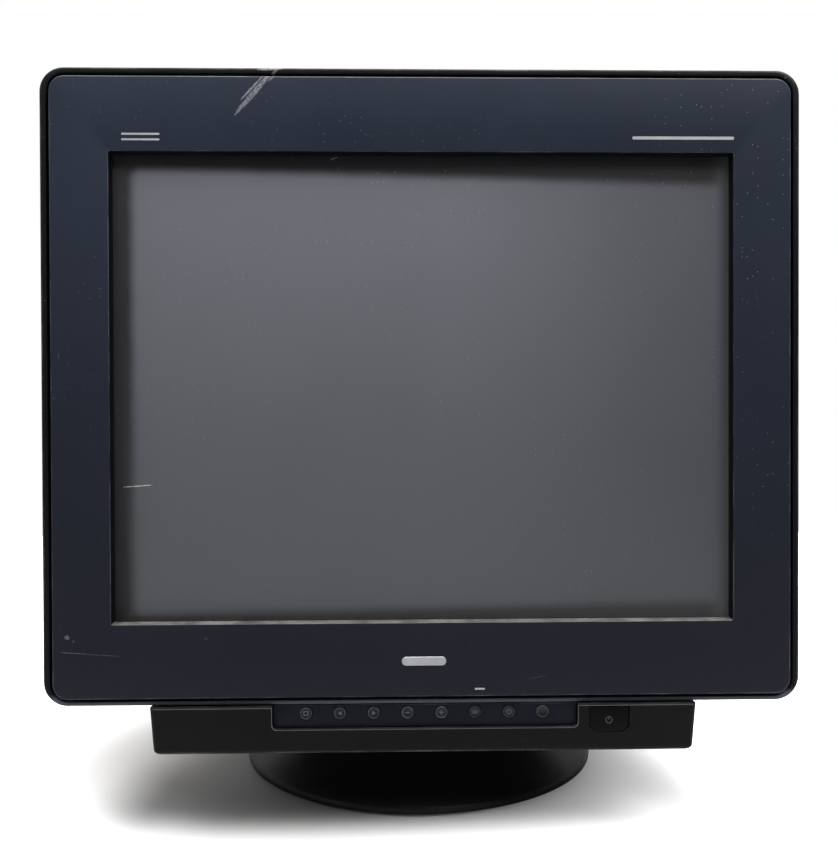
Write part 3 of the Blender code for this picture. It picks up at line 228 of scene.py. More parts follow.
def make_glass():
    """Tinted tube face: grey phosphor inside a soft dark border, under a thin coated gloss.

    The grey area's middle and slanted edges are set to the photograph, in metres.
    """
    n = Nodes("tube_glass")
    x = n.math("SUBTRACT", n.xyz[0], 0.0043)
    z = n.math("SUBTRACT", n.xyz[2], 0.2722)
    half_height = n.math("MULTIPLY_ADD", x, -0.0204, 0.1275)
    middle = n.math("MULTIPLY_ADD", x, -0.0044, -0.0025)
    wavy = n.math("MULTIPLY_ADD", n.noise(60, 3.0, 0.6), 0.0016, -0.0008)
    side = n.math("ADD", n.math("SUBTRACT", n.math("ABSOLUTE", x), 0.1752), wavy)
    above = n.math("ADD", n.math("SUBTRACT", n.math("ABSOLUTE", n.math("SUBTRACT", z, middle)), half_height), wavy)
    near_x, near_z = n.math("ADD", side, 0.006), n.math("ADD", above, 0.006)
    px, pz = n.math("MAXIMUM", near_x, 0.0), n.math("MAXIMUM", near_z, 0.0)
    corner = n.math("SQRT", n.math("ADD", n.math("MULTIPLY", px, px), n.math("MULTIPLY", pz, pz)))
    lit = n.band(corner, 0.0105, 0.0025)
    # painted reflection of the bright ceiling: the grey is lighter towards the top
    level = n.band(z, -0.15, 0.15)
    grey = n.mix(level, (0.066, 0.071, 0.079), (0.128, 0.131, 0.150))
    # painted shade: the grey turns darker towards the right
    grey = n.mix(n.band(x, 0.00, 0.18, 0.0, 0.68), grey, (0.042, 0.046, 0.051))
    cloud = n.band(n.noise(7, 3.0, 0.55), 0.3, 0.7, 0.0, 0.16)
    grey = n.mix(cloud, grey, (0.075, 0.074, 0.084))
    stripe = n.new("ShaderNodeTexWave", n.place, wave_type="BANDS", bands_direction="X")
    n.put(stripe.inputs["Scale"], 620.0)
    grey = n.mix(n.math("MULTIPLY", stripe.outputs["Fac"], 0.10), grey, (0.05, 0.05, 0.056))
    sides = n.band(n.math("ABSOLUTE", x), 0.165, 0.184, 0.0, 0.9)
    # painted light: the dark border is lighter at the bottom than at the top, and much lighter on the right, against
    # the shade of the bezel's wall
    border = n.mix(n.band(z, -0.05, 0.05), (0.0330, 0.0330, 0.0355), (0.0190, 0.0180, 0.0205))
    border = n.mix(sides, border, n.mix(n.band(x, -0.01, 0.01), (0.028, 0.028, 0.031), (0.095, 0.097, 0.100)))
    base = n.mix(lit, border, grey)
    dust = n.math("MULTIPLY", n.specks(300, 0.115, 0.05), 0.45)
    base = n.mix(dust, base, (0.38, 0.38, 0.37))
    scratch = n.stroke((-0.1775, 0.2146), (-0.160, 0.2158), 0.0005, 0.3)
    base = n.mix(n.math("MULTIPLY", scratch, 0.8), base, (0.55, 0.55, 0.54))
    hair = n.stroke((-0.055, 0.4075), (-0.050, 0.4095), 0.0006, 0.2)
    base = n.mix(n.math("MULTIPLY", hair, 0.5), base, (0.4, 0.4, 0.4))
    smudge = n.band(n.noise(18, 5.0, 0.7), 0.35, 0.8, 0.03, 0.12)
    n.finish(base_color=base, coat_roughness=0.04, coat_weight=0.55, specular_ior_level=0.18)
    n.put(n.shader.inputs["Roughness"], n.math("ADD", smudge, 0.30))
    n.shader.inputs["Coat IOR"].default_value = 1.38
    return n.material


def simple(name, colour, rough, metallic=0.0, spread=0.08, grain=0.00002, grain_scale=900, **more):
    """A plainer finish for inner and small pieces, still uneven in colour and sheen."""
    n = Nodes(name)
    tone = n.band(n.noise(60, 4.0, 0.65), 0.3, 0.7)
    base = n.mix(tone, tuple(c * (1 - spread) for c in colour), tuple(min(1.0, c * (1 + spread)) for c in colour))
    sheen = n.band(n.noise(35, 4.0, 0.6), 0.3, 0.7, max(0.03, rough - 0.06), rough + 0.08)
    normal = n.bump(n.noise(grain_scale, 2.0), grain, 0.8)
    return n.finish(base_color=base, roughness=sheen, metallic=metallic, normal=normal, **more)


def brushed(name, colour, rough, direction=(1, 40, 40)):
    """Rolled sheet metal with fine streaks."""
    n = Nodes(name)
    streak = n.noise(60, 4.0, 0.7, direction)
    base = n.mix(streak, tuple(c * 0.75 for c in colour), colour)
    sheen = n.band(streak, 0.3, 0.7, rough - 0.08, rough + 0.12)
    return n.finish(base_color=base, roughness=sheen, metallic=1.0, normal=n.bump(streak, 0.00002, 0.6))


# Wear marks at the photograph's places: start and end (x, z), width, strength, colour.
SCUFF = (0.29, 0.295, 0.325)
FACE_MARKS = (
    ((-0.1096, 0.4312), (-0.0875, 0.4568), 0.0022, 0.55, SCUFF),
    ((-0.1060, 0.4400), (-0.0925, 0.4545), 0.0009, 0.60, SCUFF),
    ((-0.0905, 0.4510), (-0.0862, 0.4540), 0.0011, 0.35, SCUFF),
    ((-0.2095, 0.1283), (-0.2070, 0.1268), 0.0019, 0.65, (0.14, 0.145, 0.15)),
    ((-0.2050, 0.1256), (-0.2040, 0.1250), 0.0014, 0.35, (0.12, 0.125, 0.13)),
    ((-0.2125, 0.1189), (-0.1980, 0.1180), 0.0004, 0.60, (0.12, 0.12, 0.125)),
    ((-0.2000, 0.1180), (-0.1780, 0.1164), 0.0003, 0.50, (0.10, 0.10, 0.11)),
    ((-0.1290, 0.1268), (-0.1262, 0.1258), 0.0008, 0.25, (0.10, 0.105, 0.11)),
    ((0.0610, 0.1010), (0.0720, 0.1030), 0.0003, 0.30, (0.10, 0.10, 0.11)),
    ((0.1950, 0.3300), (0.1990, 0.3180), 0.0002, 0.25, (0.10, 0.10, 0.11)),
)
RIM_MARKS = (
    ((-0.0970, 0.4592), (-0.0820, 0.4600), 0.0012, 0.60, (0.34, 0.34, 0.34)),
    ((-0.0890, 0.4560), (-0.0840, 0.4600), 0.0010, 0.45, (0.30, 0.30, 0.30)),
    ((0.0100, 0.4600), (0.0900, 0.4596), 0.0009, 0.22, (0.24, 0.235, 0.23)),
)
# Colour, roughness, grain depth, grain scale, dust and the colour of rubbed edges; both partly painted highlights.
PLASTICS = {
    "face": ((0.0152, 0.0202, 0.0330), 0.50, 0.00005, 1700, 1.0, (0.10, 0.105, 0.125)),
    "rim": ((0.0048, 0.0051, 0.0066), 0.48, 0.00006, 1500, 0.03, (0.075, 0.070, 0.065)),
    "chin": ((0.0032, 0.0032, 0.0036), 0.52, 0.00007, 1400, 0.12, (0.07, 0.07, 0.075)),
    "power": ((0.0014, 0.0015, 0.0018), 0.50, 0.00005, 1400, 0.10, (0.03, 0.03, 0.035)),
    "strip": ((0.0052, 0.0058, 0.0092), 0.48, 0.00004, 1700, 0.10, (0.08, 0.085, 0.10)),
    "case": ((0.0110, 0.0110, 0.0118), 0.55, 0.00010, 1100, 0.14, (0.10, 0.10, 0.10)),
    "stand": ((0.0100, 0.0100, 0.0102), 0.36, 0.00002, 1800, 0.05, (0.012, 0.012, 0.012)),
    "key": ((0.0070, 0.0080, 0.0115), 0.42, 0.00002, 1800, 0.05, (0.10, 0.10, 0.115)),
}
MORE = {
    "face": {
        "marks": FACE_MARKS,
        # painted shade on the bezel's side-facing walls
        "wall": (0.0035, 0.0035, 0.0045),
        "shine": 0.08,
        # painted shade: darker and less blue towards the bottom
        "painted_light_by_height": ((0.0092, 0.0100, 0.0148), 0.44, 0.09),
    },
    # painted light: the rim's bottom band is much lighter, where the bezel shades it from above
    "rim": {"marks": RIM_MARKS, "shine": 0.08, "painted_light_by_height": ((0.0680, 0.0720, 0.0860), 0.0935, 0.0895)},
    "chin": {"shine": 0.07},
    "power": {"shine": 0.06},
    "strip": {"shine": 0.08},
    "case": {},
    "stand": {"shine": 0.13},
    "key": {"shine": 0.15},
}
materials = {name: moulded_plastic(f"{name}_plastic", *row, **MORE[name]) for name, row in PLASTICS.items()}
materials |= {
    # painted edge highlight along the chin's edge and round the lamp; also the ink of the power sign
    "edge_highlight_and_print": simple("painted_edge_highlight_and_print", (0.034, 0.035, 0.040), 0.5),
    "print": simple("print_ink", (0.30, 0.30, 0.32), 0.55),
    "faint_print": simple("faint_print_ink", (0.050, 0.052, 0.060), 0.5),
    "badge": simple("badge_silver", (0.42, 0.42, 0.45), 0.38, 0.6),
    "glass": make_glass(),
    "lens": simple("lamp_lens", (0.006, 0.0064, 0.0076), 0.38, 0.0, 0.2, specular_ior_level=0.25),
    "lens_core": simple("lamp_core", (0.010, 0.013, 0.010), 0.35),
    "coating": simple("funnel_coating", (0.012, 0.012, 0.012), 0.75, 0.0, 0.3, 0.00008),
    "neck": simple("neck_glass", (0.10, 0.11, 0.11), 0.08),
    "steel": brushed("zinc_steel", (0.56, 0.57, 0.58), 0.34),
    "aluminium": brushed("extruded_aluminium", (0.66, 0.66, 0.67), 0.38, (40, 40, 1)),
    "copper": simple("enamelled_wire", (0.36, 0.11, 0.035), 0.35, 0.7, 0.25, 0.00015, 420),
    "ferrite": simple("ferrite", (0.035, 0.035, 0.038), 0.55, 0.0, 0.25, 0.00008),
    "board": simple("solder_mask", (0.020, 0.075, 0.030), 0.35, 0.0, 0.25),
    "rubber": simple("black_rubber", (0.012, 0.012, 0.012), 0.85, 0.0, 0.2, 0.00010),
    "red": simple("silicone_rubber", (0.22, 0.018, 0.012), 0.5, 0.0, 0.15),
    "socket": simple("socket_plastic", (0.010, 0.010, 0.011), 0.42, 0.0, 0.15),
    "insulator": simple("socket_insulator", (0.010, 0.040, 0.20), 0.45),
    "gold": simple("contact_gold", (0.72, 0.50, 0.18), 0.25, 1.0),
    "label": brushed("blank_label", (0.50, 0.50, 0.50), 0.45, (30, 1, 30)),
}

# The finish of every frame node that stays as it is.
BY_SLOT = {
    "face_plastic": "face",
    "black_plastic": "socket",
    "stand_plastic": "stand",
    "key_plastic": "key",
    "tinted_glass": "neck",
    "funnel_coating": "coating",
    "clear_plastic": "lens",
    "steel": "steel",
    "aluminium": "aluminium",
    "copper": "copper",
    "ferrite": "ferrite",
    "circuit_board": "board",
    "rubber": "rubber",
    "red_rubber": "red",
}
for subpart in frame["record"]["subparts"]:
    node = frame["nodes"][subpart["node"]]
    node.data.materials.clear()
    node.data.materials.append(materials[BY_SLOT[subpart["material_slot"]]])


# ---------------------------------------------------------------- outlines, as (u, v) points
def rounded_polygon(corners, steps):
    """An anticlockwise outline through corners (u, v, radius), each rounded by an arc of that radius."""
    points = []
    for i, (u, v, radius) in enumerate(corners):
        corner = Vector((u, v))
        before = (Vector(corners[i - 1][:2]) - corner).normalized()
        after = (Vector(corners[(i + 1) % len(corners)][:2]) - corner).normalized()
        half = before.angle(after) / 2
        centre = corner + (before + after).normalized() * (radius / math.sin(half))
        start = corner + before * (radius / math.tan(half)) - centre
        turn = (math.pi - 2 * half) / steps
        for step in range(steps + 1):
            c, s = math.cos(turn * step), math.sin(turn * step)
            points.append((centre.x + start.x * c - start.y * s, centre.y + start.x * s + start.y * c))
    return points


def rounded_rect(width, height, radius, steps=10):
    u, v = width / 2, height / 2
    return rounded_polygon([(u, v, radius), (-u, v, radius), (-u, -v, radius), (u, -v, radius)], steps)


def circle(radius, steps):
    turns = [2 * math.pi * i / steps for i in range(steps)]
    return [(radius * math.cos(t), radius * math.sin(t)) for t in turns]


def facing_y(outline, y, x=0.0, z=0.0):
    return [(x + u, y, z + v) for u, v in outline]


def facing_z(outline, z, x=0.0, y=0.0):
    return [(x + u, y + v, z) for u, v in outline]


def fillet(radius, steps=4):
    """(inset, depth) pairs round a quarter arc, from a flat face's rim to the side wall."""
    turns = [math.pi / 2 * i / steps for i in range(steps + 1)]
    return [(radius * (1 - math.sin(t)), radius * (1 - math.cos(t))) for t in turns]


# ---------------------------------------------------------------- pieces
def finish_piece(bm, name, material, body, replaces=(), sharp=32):
    bmesh.ops.recalc_face_normals(bm, faces=bm.faces)
    mesh = bpy.data.meshes.new(name)
    bm.to_mesh(mesh)
    bm.free()
    mesh.shade_smooth()
    mesh.set_sharp_from_angle(angle=math.radians(sharp))
    mesh.materials.append(materials[material])
    piece = bpy.data.objects.new(name, mesh)
    bpy.context.scene.collection.objects.link(piece)
    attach(piece, body)
    if replaces:
        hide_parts(*replaces)
    return piece


def skin(name, loops, material, body, replaces=(), ring=False, edges=(), sharp=32, cutters=()):
    """Covers a row of loops with equal point counts. Loops numbered in edges are marked for the lighter edge colour:
    wear and a painted highlight.
    """
    bm = bmesh.new()
    mark = bm.verts.layers.float.new("edge")
    rows = [[bm.verts.new(point) for point in loop] for loop in loops]
    for i in edges:
        for vertex in rows[i]:
            vertex[mark] = 1.0
    pairs = list(zip(rows, rows[1:]))
    if ring:
        pairs.append((rows[-1], rows[0]))
    for first, second in pairs:
        for i in range(len(first)):
            j = (i + 1) % len(first)
            bm.faces.new((first[i], first[j], second[j], second[i]))
    if not ring:
        bm.faces.new(rows[0])
        bm.faces.new(rows[-1])
    piece = finish_piece(bm, name, material, body, replaces, sharp)
    if cutters:
        carve(piece, cutters, sharp)
    return piece


def carve(piece, cutters, sharp):
    """Cuts solids out of the piece and keeps the result as its mesh."""
    for cutter in cutters:
        modifier = piece.modifiers.new("cut", "BOOLEAN")
        modifier.operation = "DIFFERENCE"
        modifier.object = cutter
        modifier.solver = "EXACT"
    bpy.context.view_layer.update()
    carved = bpy.data.meshes.new_from_object(piece.evaluated_get(bpy.context.evaluated_depsgraph_get()))
    piece.modifiers.clear()
    slots = list(piece.data.materials)
    piece.data = carved
    if not carved.materials:
        for material in slots:
            carved.materials.append(material)
    carved.shade_smooth()
    carved.set_sharp_from_angle(angle=math.radians(sharp))
    for cutter in cutters:
        bpy.data.objects.remove(cutter)


def loose(loops_list):
    """One cutter from several closed stacks of loops."""
    bm = bmesh.new()
    for loops in loops_list:
        rows = [[bm.verts.new(point) for point in loop] for loop in loops]
        for first, second in zip(rows, rows[1:]):
            for i in range(len(first)):
                j = (i + 1) % len(first)
                bm.faces.new((first[i], first[j], second[j], second[i]))
        bm.faces.new(rows[0])
        bm.faces.new(rows[-1])
    bmesh.ops.recalc_face_normals(bm, faces=bm.faces)
    mesh = bpy.data.meshes.new("cutter")
    bm.to_mesh(mesh)
    bm.free()
    cutter = bpy.data.objects.new("cutter", mesh)
    bpy.context.scene.collection.objects.link(cutter)
    return cutter


def turned_y(name, profile, material, body, x, z, replaces, edges=()):
    """Turns a row of (radius, y) round an upright face's own middle."""
    loops = [facing_y(circle(r, 40), y, x, z) for r, y in profile]
    return skin(name, loops, material, body, replaces, edges=edges)


def smooth_curve(points, between):
    """Catmull-Rom points through rows of numbers of equal length."""
    rows = [tuple(2 * a - b for a, b in zip(points[0], points[1])), *points]
    rows.append(tuple(2 * a - b for a, b in zip(points[-1], points[-2])))
    made = []
    for p, q, r, s in zip(rows, rows[1:], rows[2:], rows[3:]):
        for step in range(between):
            t = step / between
            made.append(
                tuple(
                    0.5 * (2 * b + (c - a) * t + (2 * a - 5 * b + 4 * c - d) * t * t + (3 * b - a - 3 * c + d) * t**3)
                    for a, b, c, d in zip(p, q, r, s)
                )
            )
    return [*made, points[-1]]


def casing_loop(y, inset, width, bottom, top, radius):
    outline = rounded_rect(width - 2 * inset, top - bottom - 2 * inset, max(radius - inset, 0.0008), 12)
    return facing_y(outline, y, 0.0, (top + bottom) / 2)


def screen_loop(y, grow, radius):
    return facing_y(rounded_rect(SCREEN_W + 2 * grow, SCREEN_H + 2 * grow, radius, 12), y, 0.0, SCREEN_Z)


def face_loop(y, inset):
    return casing_loop(y, inset, FACE_W, FACE_BOTTOM, FACE_TOP, 0.0090)


def make_bezel():
    glass_side, plate_back, skirt_back = GLASS_Y - 0.0003, FRONT + WALL, FRONT + 0.018
    loops = [face_loop(skirt_back, WALL), face_loop(skirt_back, 0.0)]
    loops += [face_loop(FRONT + depth, inset) for inset, depth in reversed(fillet(0.0010, 4))]
    lip = len(loops)
    worn_and_highlit_edges = [lip - 3, lip - 2, lip + 1, lip + 2]
    loops += [screen_loop(FRONT + depth, inset, 0.0012 + inset) for inset, depth in fillet(0.0005, 3)]
    loops += [
        screen_loop(glass_side - 0.0004, -0.0003, 0.0012),
        screen_loop(glass_side, -0.0001, 0.0012),
        screen_loop(glass_side, 0.0015, 0.003),
        screen_loop(plate_back, 0.0025, 0.003),
        face_loop(plate_back, WALL),
    ]
    return skin("bezel_face", loops, "face", "head", ["front_bezel"], True, worn_and_highlit_edges)


def make_rim():
    """The ring round the face: a soft outer edge at the sides and top, a flat band below."""
    flange = FRONT + 0.0185

    def outer(y, inset):
        low = BOTTOM + inset * 0.35
        return casing_loop(y, 0.0, WIDTH - 0.0010 - 2 * inset, low, TOP - 0.0009 - inset, 0.0140)

    def inner(y, grow=0.0):
        return casing_loop(y, -grow, LIP_W, LIP_BOTTOM, LIP_TOP, 0.0110)

    def back(y, inset):
        return casing_loop(y, inset, JOINT_W, BOTTOM, JOINT_TOP, JOINT_RADIUS)

    soft = [(0.0017 * (1 - math.sin(t)), 0.0020 * (1 - math.cos(t))) for t in [math.pi / 2 * i / 7 for i in range(8)]]
    loops = [back(RIM_BACK, WALL), back(RIM_BACK, 0.0006), back(RIM_BACK - 0.0006, 0.0)]
    start = len(loops)
    loops += [outer(RIM_FRONT + depth, inset) for inset, depth in reversed(soft)]
    loops += [inner(RIM_FRONT + depth, inset) for inset, depth in fillet(0.0005, 3)]
    flange_hole = rounded_rect(0.404, 0.312, 0.020, 12)
    loops += [
        inner(flange),
        facing_y(flange_hole, flange, 0.0, SCREEN_Z),
        facing_y(flange_hole, flange + 0.003, 0.0, SCREEN_Z),
        inner(flange + 0.003),
    ]
    return skin("rim_shell", loops, "rim", "head", ["front_frame"], True, range(start + 2, start + 7))


# Stations along the rear cabinet: y, width, bottom, top, corner radius.
STATIONS = (
    (-0.097, 0.438, CABINET_BOTTOM, 0.452, 0.016),
    (-0.078, 0.424, CABINET_BOTTOM, 0.442, 0.026),
    (0.020, 0.352, CABINET_BOTTOM, 0.406, 0.036),
    (0.066, 0.326, CABINET_BOTTOM, 0.393, 0.038),
    (0.150, 0.292, 0.094, 0.374, 0.038),
    (0.208, 0.276, 0.100, 0.362, 0.034),
)
VENT_WIDTH, VENT_PITCH = 0.005, 0.014
SCREW_SPOTS = [(x, z) for z in (0.137, 0.325) for x in (-0.104, 0.104)]
PORTS_X, PORTS_Z, PORTS_W, PORTS_H = -0.020, 0.152, 0.124, 0.036


def slot_outline(length, width):
    return rounded_rect(length, width, width * 0.49, 5)


def make_cabinet():
    front = (RIM_BACK + 0.0003, JOINT_W, CABINET_BOTTOM, JOINT_TOP, JOINT_RADIUS)
    rows = [front, *smooth_curve(STATIONS, 5)]
    rows = [(y, w, max(b, CABINET_BOTTOM), t, r) for y, w, b, t, r in rows]
    rounding = [(0.2150, 0.2705, 0.1026, 0.3592, 0.033), (0.2205, 0.2655, 0.1048, 0.3566, 0.031)]
    rounding += [(0.2240, 0.2600, 0.1074, 0.3536, 0.028), (0.2255, 0.2540, 0.1102, 0.3506, 0.025)]
    rounding.append((REAR, 0.2450, 0.1140, 0.3460, 0.022))
    outer = [casing_loop(y, 0.0, w, b, t, r) for y, w, b, t, r in rows + rounding]
    lip = casing_loop(front[0], 0.0007, *front[1:])
    outer[0] = casing_loop(front[0] + 0.0007, 0.0, *front[1:])
    inner = [casing_loop(y, WALL, w, b, t, r) for y, w, b, t, r in rows]
    inner.append(casing_loop(REAR - 0.004, 0.004, *rounding[2][1:]))
    loops = [*reversed(inner), lip, *outer]
    cuts = []
    for i in range(12):
        y = -0.055 + VENT_PITCH * i + VENT_WIDTH / 2
        for side in (-1, 1):
            outline = [(u, v) for v, u in slot_outline(0.130, VENT_WIDTH)]
            stack = [[(x, y + u, 0.235 + v) for u, v in outline] for x in (side * 0.110, side * 0.240)]
            cuts.append(stack)
    for first, last, count in ((-0.060, 0.010, 15), (0.028, 0.128, 11)):
        for i in range(count):
            x = VENT_PITCH * (i - (count - 1) / 2)
            outline = [(u, v) for v, u in slot_outline(last - first, VENT_WIDTH)]
            cuts.append([[(x + u, (first + last) / 2 + v, z) for u, v in outline] for z in (0.330, 0.480)])
    window = rounded_rect(PORTS_W, PORTS_H, 0.002, 4)
    more = [[facing_y(window, y, PORTS_X, PORTS_Z) for y in (0.210, 0.236)]]
    for x, z in SCREW_SPOTS:
        more.append([facing_y(circle(0.0052, 20), y, x, z) for y in (0.2240, 0.236)])
        more.append([facing_y(circle(0.0024, 12), y, x, z) for y in (0.210, 0.2235)])
    for z in (0.262, 0.274, 0.286, 0.298, 0.310):
        more.append([facing_y(slot_outline(0.120, 0.0045), y, 0.0, z) for y in (REAR - 0.0022, 0.236)])
    return skin(
        "cabinet_shell", loops, "case", "head", ["rear_cabinet"], sharp=28,
        cutters=[loose(cuts), loose(more)],
    )


def belly_loop(z, inset):
    front, back = CHIN_FRONT + inset, 0.062 - inset
    wide, narrow = 0.1608 - inset, 0.118 - inset
    corners = [(narrow, back, 0.020), (-narrow, back, 0.020), (-wide, front, 0.0030), (wide, front, 0.0030)]
    return facing_z(rounded_polygon(corners, 10), z)


def panel_outline(grow=0.0, top=None):
    centre = (panel_low.x + panel_high.x) / 2
    half = (panel_high.x - panel_low.x) / 2 + grow
    top = panel_high.z + grow if top is None else top
    low = panel_low.z - grow
    radius = 0.003 + min(grow, 0.0)
    corners = [(half, top, 0.0004), (-half, top, 0.0004), (-half, low, radius), (half, low, radius)]
    return rounded_polygon([(centre + u, v, r) for u, v, r in corners], 8)


POWER_CENTRE = ((power_low.x + power_high.x) / 2, (power_low.z + power_high.z) / 2)


def power_outline(grow=0.0):
    half, tall, bevel = 0.0118 + grow, 0.0082 + grow, 0.004
    corners = [(half, tall), (-half, tall), (-half, -tall + bevel), (-half + bevel, -tall)]
    corners += [(half - bevel, -tall), (half, -tall + bevel)]
    return rounded_polygon([(u, v, 0.0009) for u, v in corners], 5)


# How far the chin's face stands behind CHIN_FRONT, by height. Negative is in front of it.
CHIN_FACE = [
    (CHIN_BOTTOM + 0.0034, 0.0006),
    (CHIN_TOP - 0.0016, -0.0009),
    (CHIN_TOP - 0.0006, -0.0010),
    (CHIN_TOP, -0.0006),
]


def make_chin():
    loops = [belly_loop(CHIN_BOTTOM, 0.0040)]
    for i in range(1, 8):
        turn = math.pi / 2 * i / 7
        rise, inset = 0.0034 * (1 - math.cos(turn)), 0.0034 * (1 - math.sin(turn))
        loops.append(belly_loop(CHIN_BOTTOM + rise, 0.0006 + inset))
    loops += [belly_loop(z, inset) for z, inset in CHIN_FACE[1:]]
    loops += [belly_loop(CHIN_TOP, WALL - 0.001), belly_loop(CHIN_BOTTOM + WALL, WALL + 0.0006)]
    reach = (CHIN_FRONT - 0.010, CHIN_FRONT + 0.008)
    strip = loose([[facing_y(panel_outline(0.0003, STRIP_CUT_TOP), y) for y in reach]])
    key = loose([[facing_y(power_outline(0.0003), y, *POWER_CENTRE) for y in reach]])
    return skin(
        "chin_cover", loops, "chin", "head", ["bottom_cover"], edges=(3, 4, 9), cutters=[strip, key]
    )


def chin_depth(z):
    """The row of CHIN_FACE at a height, between its rows."""
    for (low, first), (high, second) in zip(CHIN_FACE, CHIN_FACE[1:]):
        if z <= high:
            return first + (second - first) * (z - low) / (high - low)
    return CHIN_FACE[-1][1]


def make_chin_edge():
    """A painted highlight along the chin's edge: along its top and round the cut-out for the strip."""
    top = BOTTOM - 0.0009

    def path(grow, level):
        around = [(u, min(v, level)) for u, v in panel_outline(grow, STRIP_CUT_TOP)]
        return [(-0.1590, level), *around[9:], around[0], (0.1590, level)]

    inner, outer = path(0.00035, top), path(0.00080, top - 0.00045)
    bm = bmesh.new()
    rows = []
    for line, depth in ((inner, 0.0004), (inner, -0.00007), (outer, -0.00007), (outer, 0.0004)):
        rows.append([bm.verts.new((u, CHIN_FRONT + chin_depth(v) + depth, v)) for u, v in line])
    for i in range(4):
        first, second = rows[i], rows[(i + 1) % 4]
        for j in range(len(first) - 1):
            bm.faces.new((first[j], first[j + 1], second[j + 1], second[j]))
    bm.faces.new([row[0] for row in rows])
    bm.faces.new([row[-1] for row in rows])
    return finish_piece(bm, "chin_edge", "edge_highlight_and_print", "head")


def make_strip():
    y = panel_low.y
    rows = [(0.0, y + WALL)] + [(-inset, y + depth) for inset, depth in reversed(fillet(0.0006, 3))]
    loops = [facing_y(panel_outline(grow), depth) for grow, depth in rows]
    holes = loose([[facing_y(circle(0.00405, 28), d, x, z) for d in (y - 0.005, y + 0.010)] for x, z in HOLES])
    return skin("strip_plate", loops, "strip", "head", ["control_panel"], edges=(2, 3), cutters=[holes])


def centre_of(node):
    low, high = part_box(node)
    return (low.x + high.x) / 2, (low.z + high.z) / 2


HOLES = [centre_of(f"button_{key}") for key in KEYS] + [centre_of("led_indicator")]


def plate(name, outline, y, x, z, material, body, slot, thick=0.00006):
    return skin(name, [facing_y(outline, y, x, z), facing_y(outline, y - thick, x, z)], material, body)


def frame_outline(name, outer, inner, y, x, z, material, body, slot, thick=0.00006):
    stack = ((outer, y), (outer, y - thick), (inner, y - thick), (inner, y))
    loops = [facing_y(outline, depth, x, z) for outline, depth in stack]
    return skin(name, loops, material, body, ring=True)


def key_icon(key, y, x, z, body):
    """A small generic sign on a key, as thin printed shapes."""
    look = ("faint_print", body, "key_plastic")

    def shape(i, outline, dz=0.0):
        plate(f"sign_{key}_{i}", outline, y, x, z + dz, *look)

    def outlined(outer, inner):
        frame_outline(f"sign_{key}_0", outer, inner, y, x, z, *look)

    arrow = rounded_polygon([(0.0010, 0.0013, 0.0002), (-0.0012, 0.0, 0.0002), (0.0010, -0.0013, 0.0002)], 3)
    if key == "left":
        shape(0, arrow)
    elif key == "right":
        shape(0, [(-u, -v) for u, v in arrow])
    elif key == "minus":
        shape(0, rounded_rect(0.0028, 0.0006, 0.0002, 3))
    elif key == "plus":
        arm, wide = 0.0014, 0.0003
        corners = [(wide, arm), (-wide, arm), (-wide, wide), (-arm, wide), (-arm, -wide), (-wide, -wide), (-wide, -arm)]
        corners += [(wide, -arm), (wide, -wide), (arm, -wide), (arm, wide), (wide, wide)]
        shape(0, corners)
    elif key == "select":
        for i, dz in enumerate((0.0006, -0.0006)):
            shape(i, rounded_rect(0.0034, 0.0006, 0.0002, 3), dz)
    elif key == "exit":
        outlined(rounded_rect(0.0028, 0.0028, 0.0004, 3), rounded_rect(0.0019, 0.0019, 0.0003, 3))
    else:
        outlined(circle(0.0016, 24), circle(0.0011, 24))


def make_keys():
    for key, (x, z) in zip(KEYS, HOLES):
        body = f"button_{key}"
        low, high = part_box(body)
        front, r = low.y, KEY_RADIUS
        face = front + 0.00022
        profile = [(0.0026, face), (r - 0.0008, front + 0.00012), (r - 0.0005, front), (r - 0.0002, front + 0.0001)]
        profile += [(r, front + 0.0004), (r, front + 0.0041), (0.0048, front + 0.0041), (0.0048, front + 0.0051)]
        profile += [(0.0014, front + 0.0051), (0.0014, high.y)]
        turned_y(f"key_{key}", profile, "key", body, x, z, [body], edges=(1, 2, 3))
        key_icon(key, face, x, z, body)


def make_lamp():
    x, z = HOLES[-1]
    low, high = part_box("led_indicator")
    front, r = low.y, KEY_RADIUS
    profile = [(0.0022, front + 0.0004), (r - 0.0009, front + 0.0001), (r - 0.0005, front)]
    profile += [(r - 0.0001, front + 0.0003), (r, front + 0.0008), (r, front + 0.0042)]
    profile += [(0.0048, front + 0.0042), (0.0048, front + 0.0052), (0.0022, front + 0.0052), (0.0022, high.y)]
    turned_y("lamp_lens", profile, "lens", "head", x, z, ["led_indicator"])
    # a lighter ring round the lens: painted highlight
    outer, inner = circle(r - 0.0002, 40), circle(r - 0.0005, 40)
    frame_outline("lamp_ring", outer, inner, front + 0.0003, x, z, "edge_highlight_and_print", "head", "clear_plastic", 0.0003)


def make_power():
    front = power_low.y
    back = front + 0.0040
    rows = [(-inset, front + depth) for inset, depth in fillet(0.0006, 3)]
    rows += [(0.0, back), (0.0007, back), (0.0007, back + 0.001)]
    loops = [facing_y(power_outline(grow), y, *POWER_CENTRE) for grow, y in rows]
    skin("power_key", loops, "power", "power_button", ["power_button"], edges=(1,))
    x, z = POWER_CENTRE
    look = ("edge_highlight_and_print", "power_button", "key_plastic")
    frame_outline("power_sign_ring", circle(0.0021, 32), circle(0.0017, 32), front, x, z - 0.001, *look)
    plate("power_sign_bar", rounded_rect(0.0005, 0.0020, 0.0002, 3), front, x, z + 0.0002, *look)


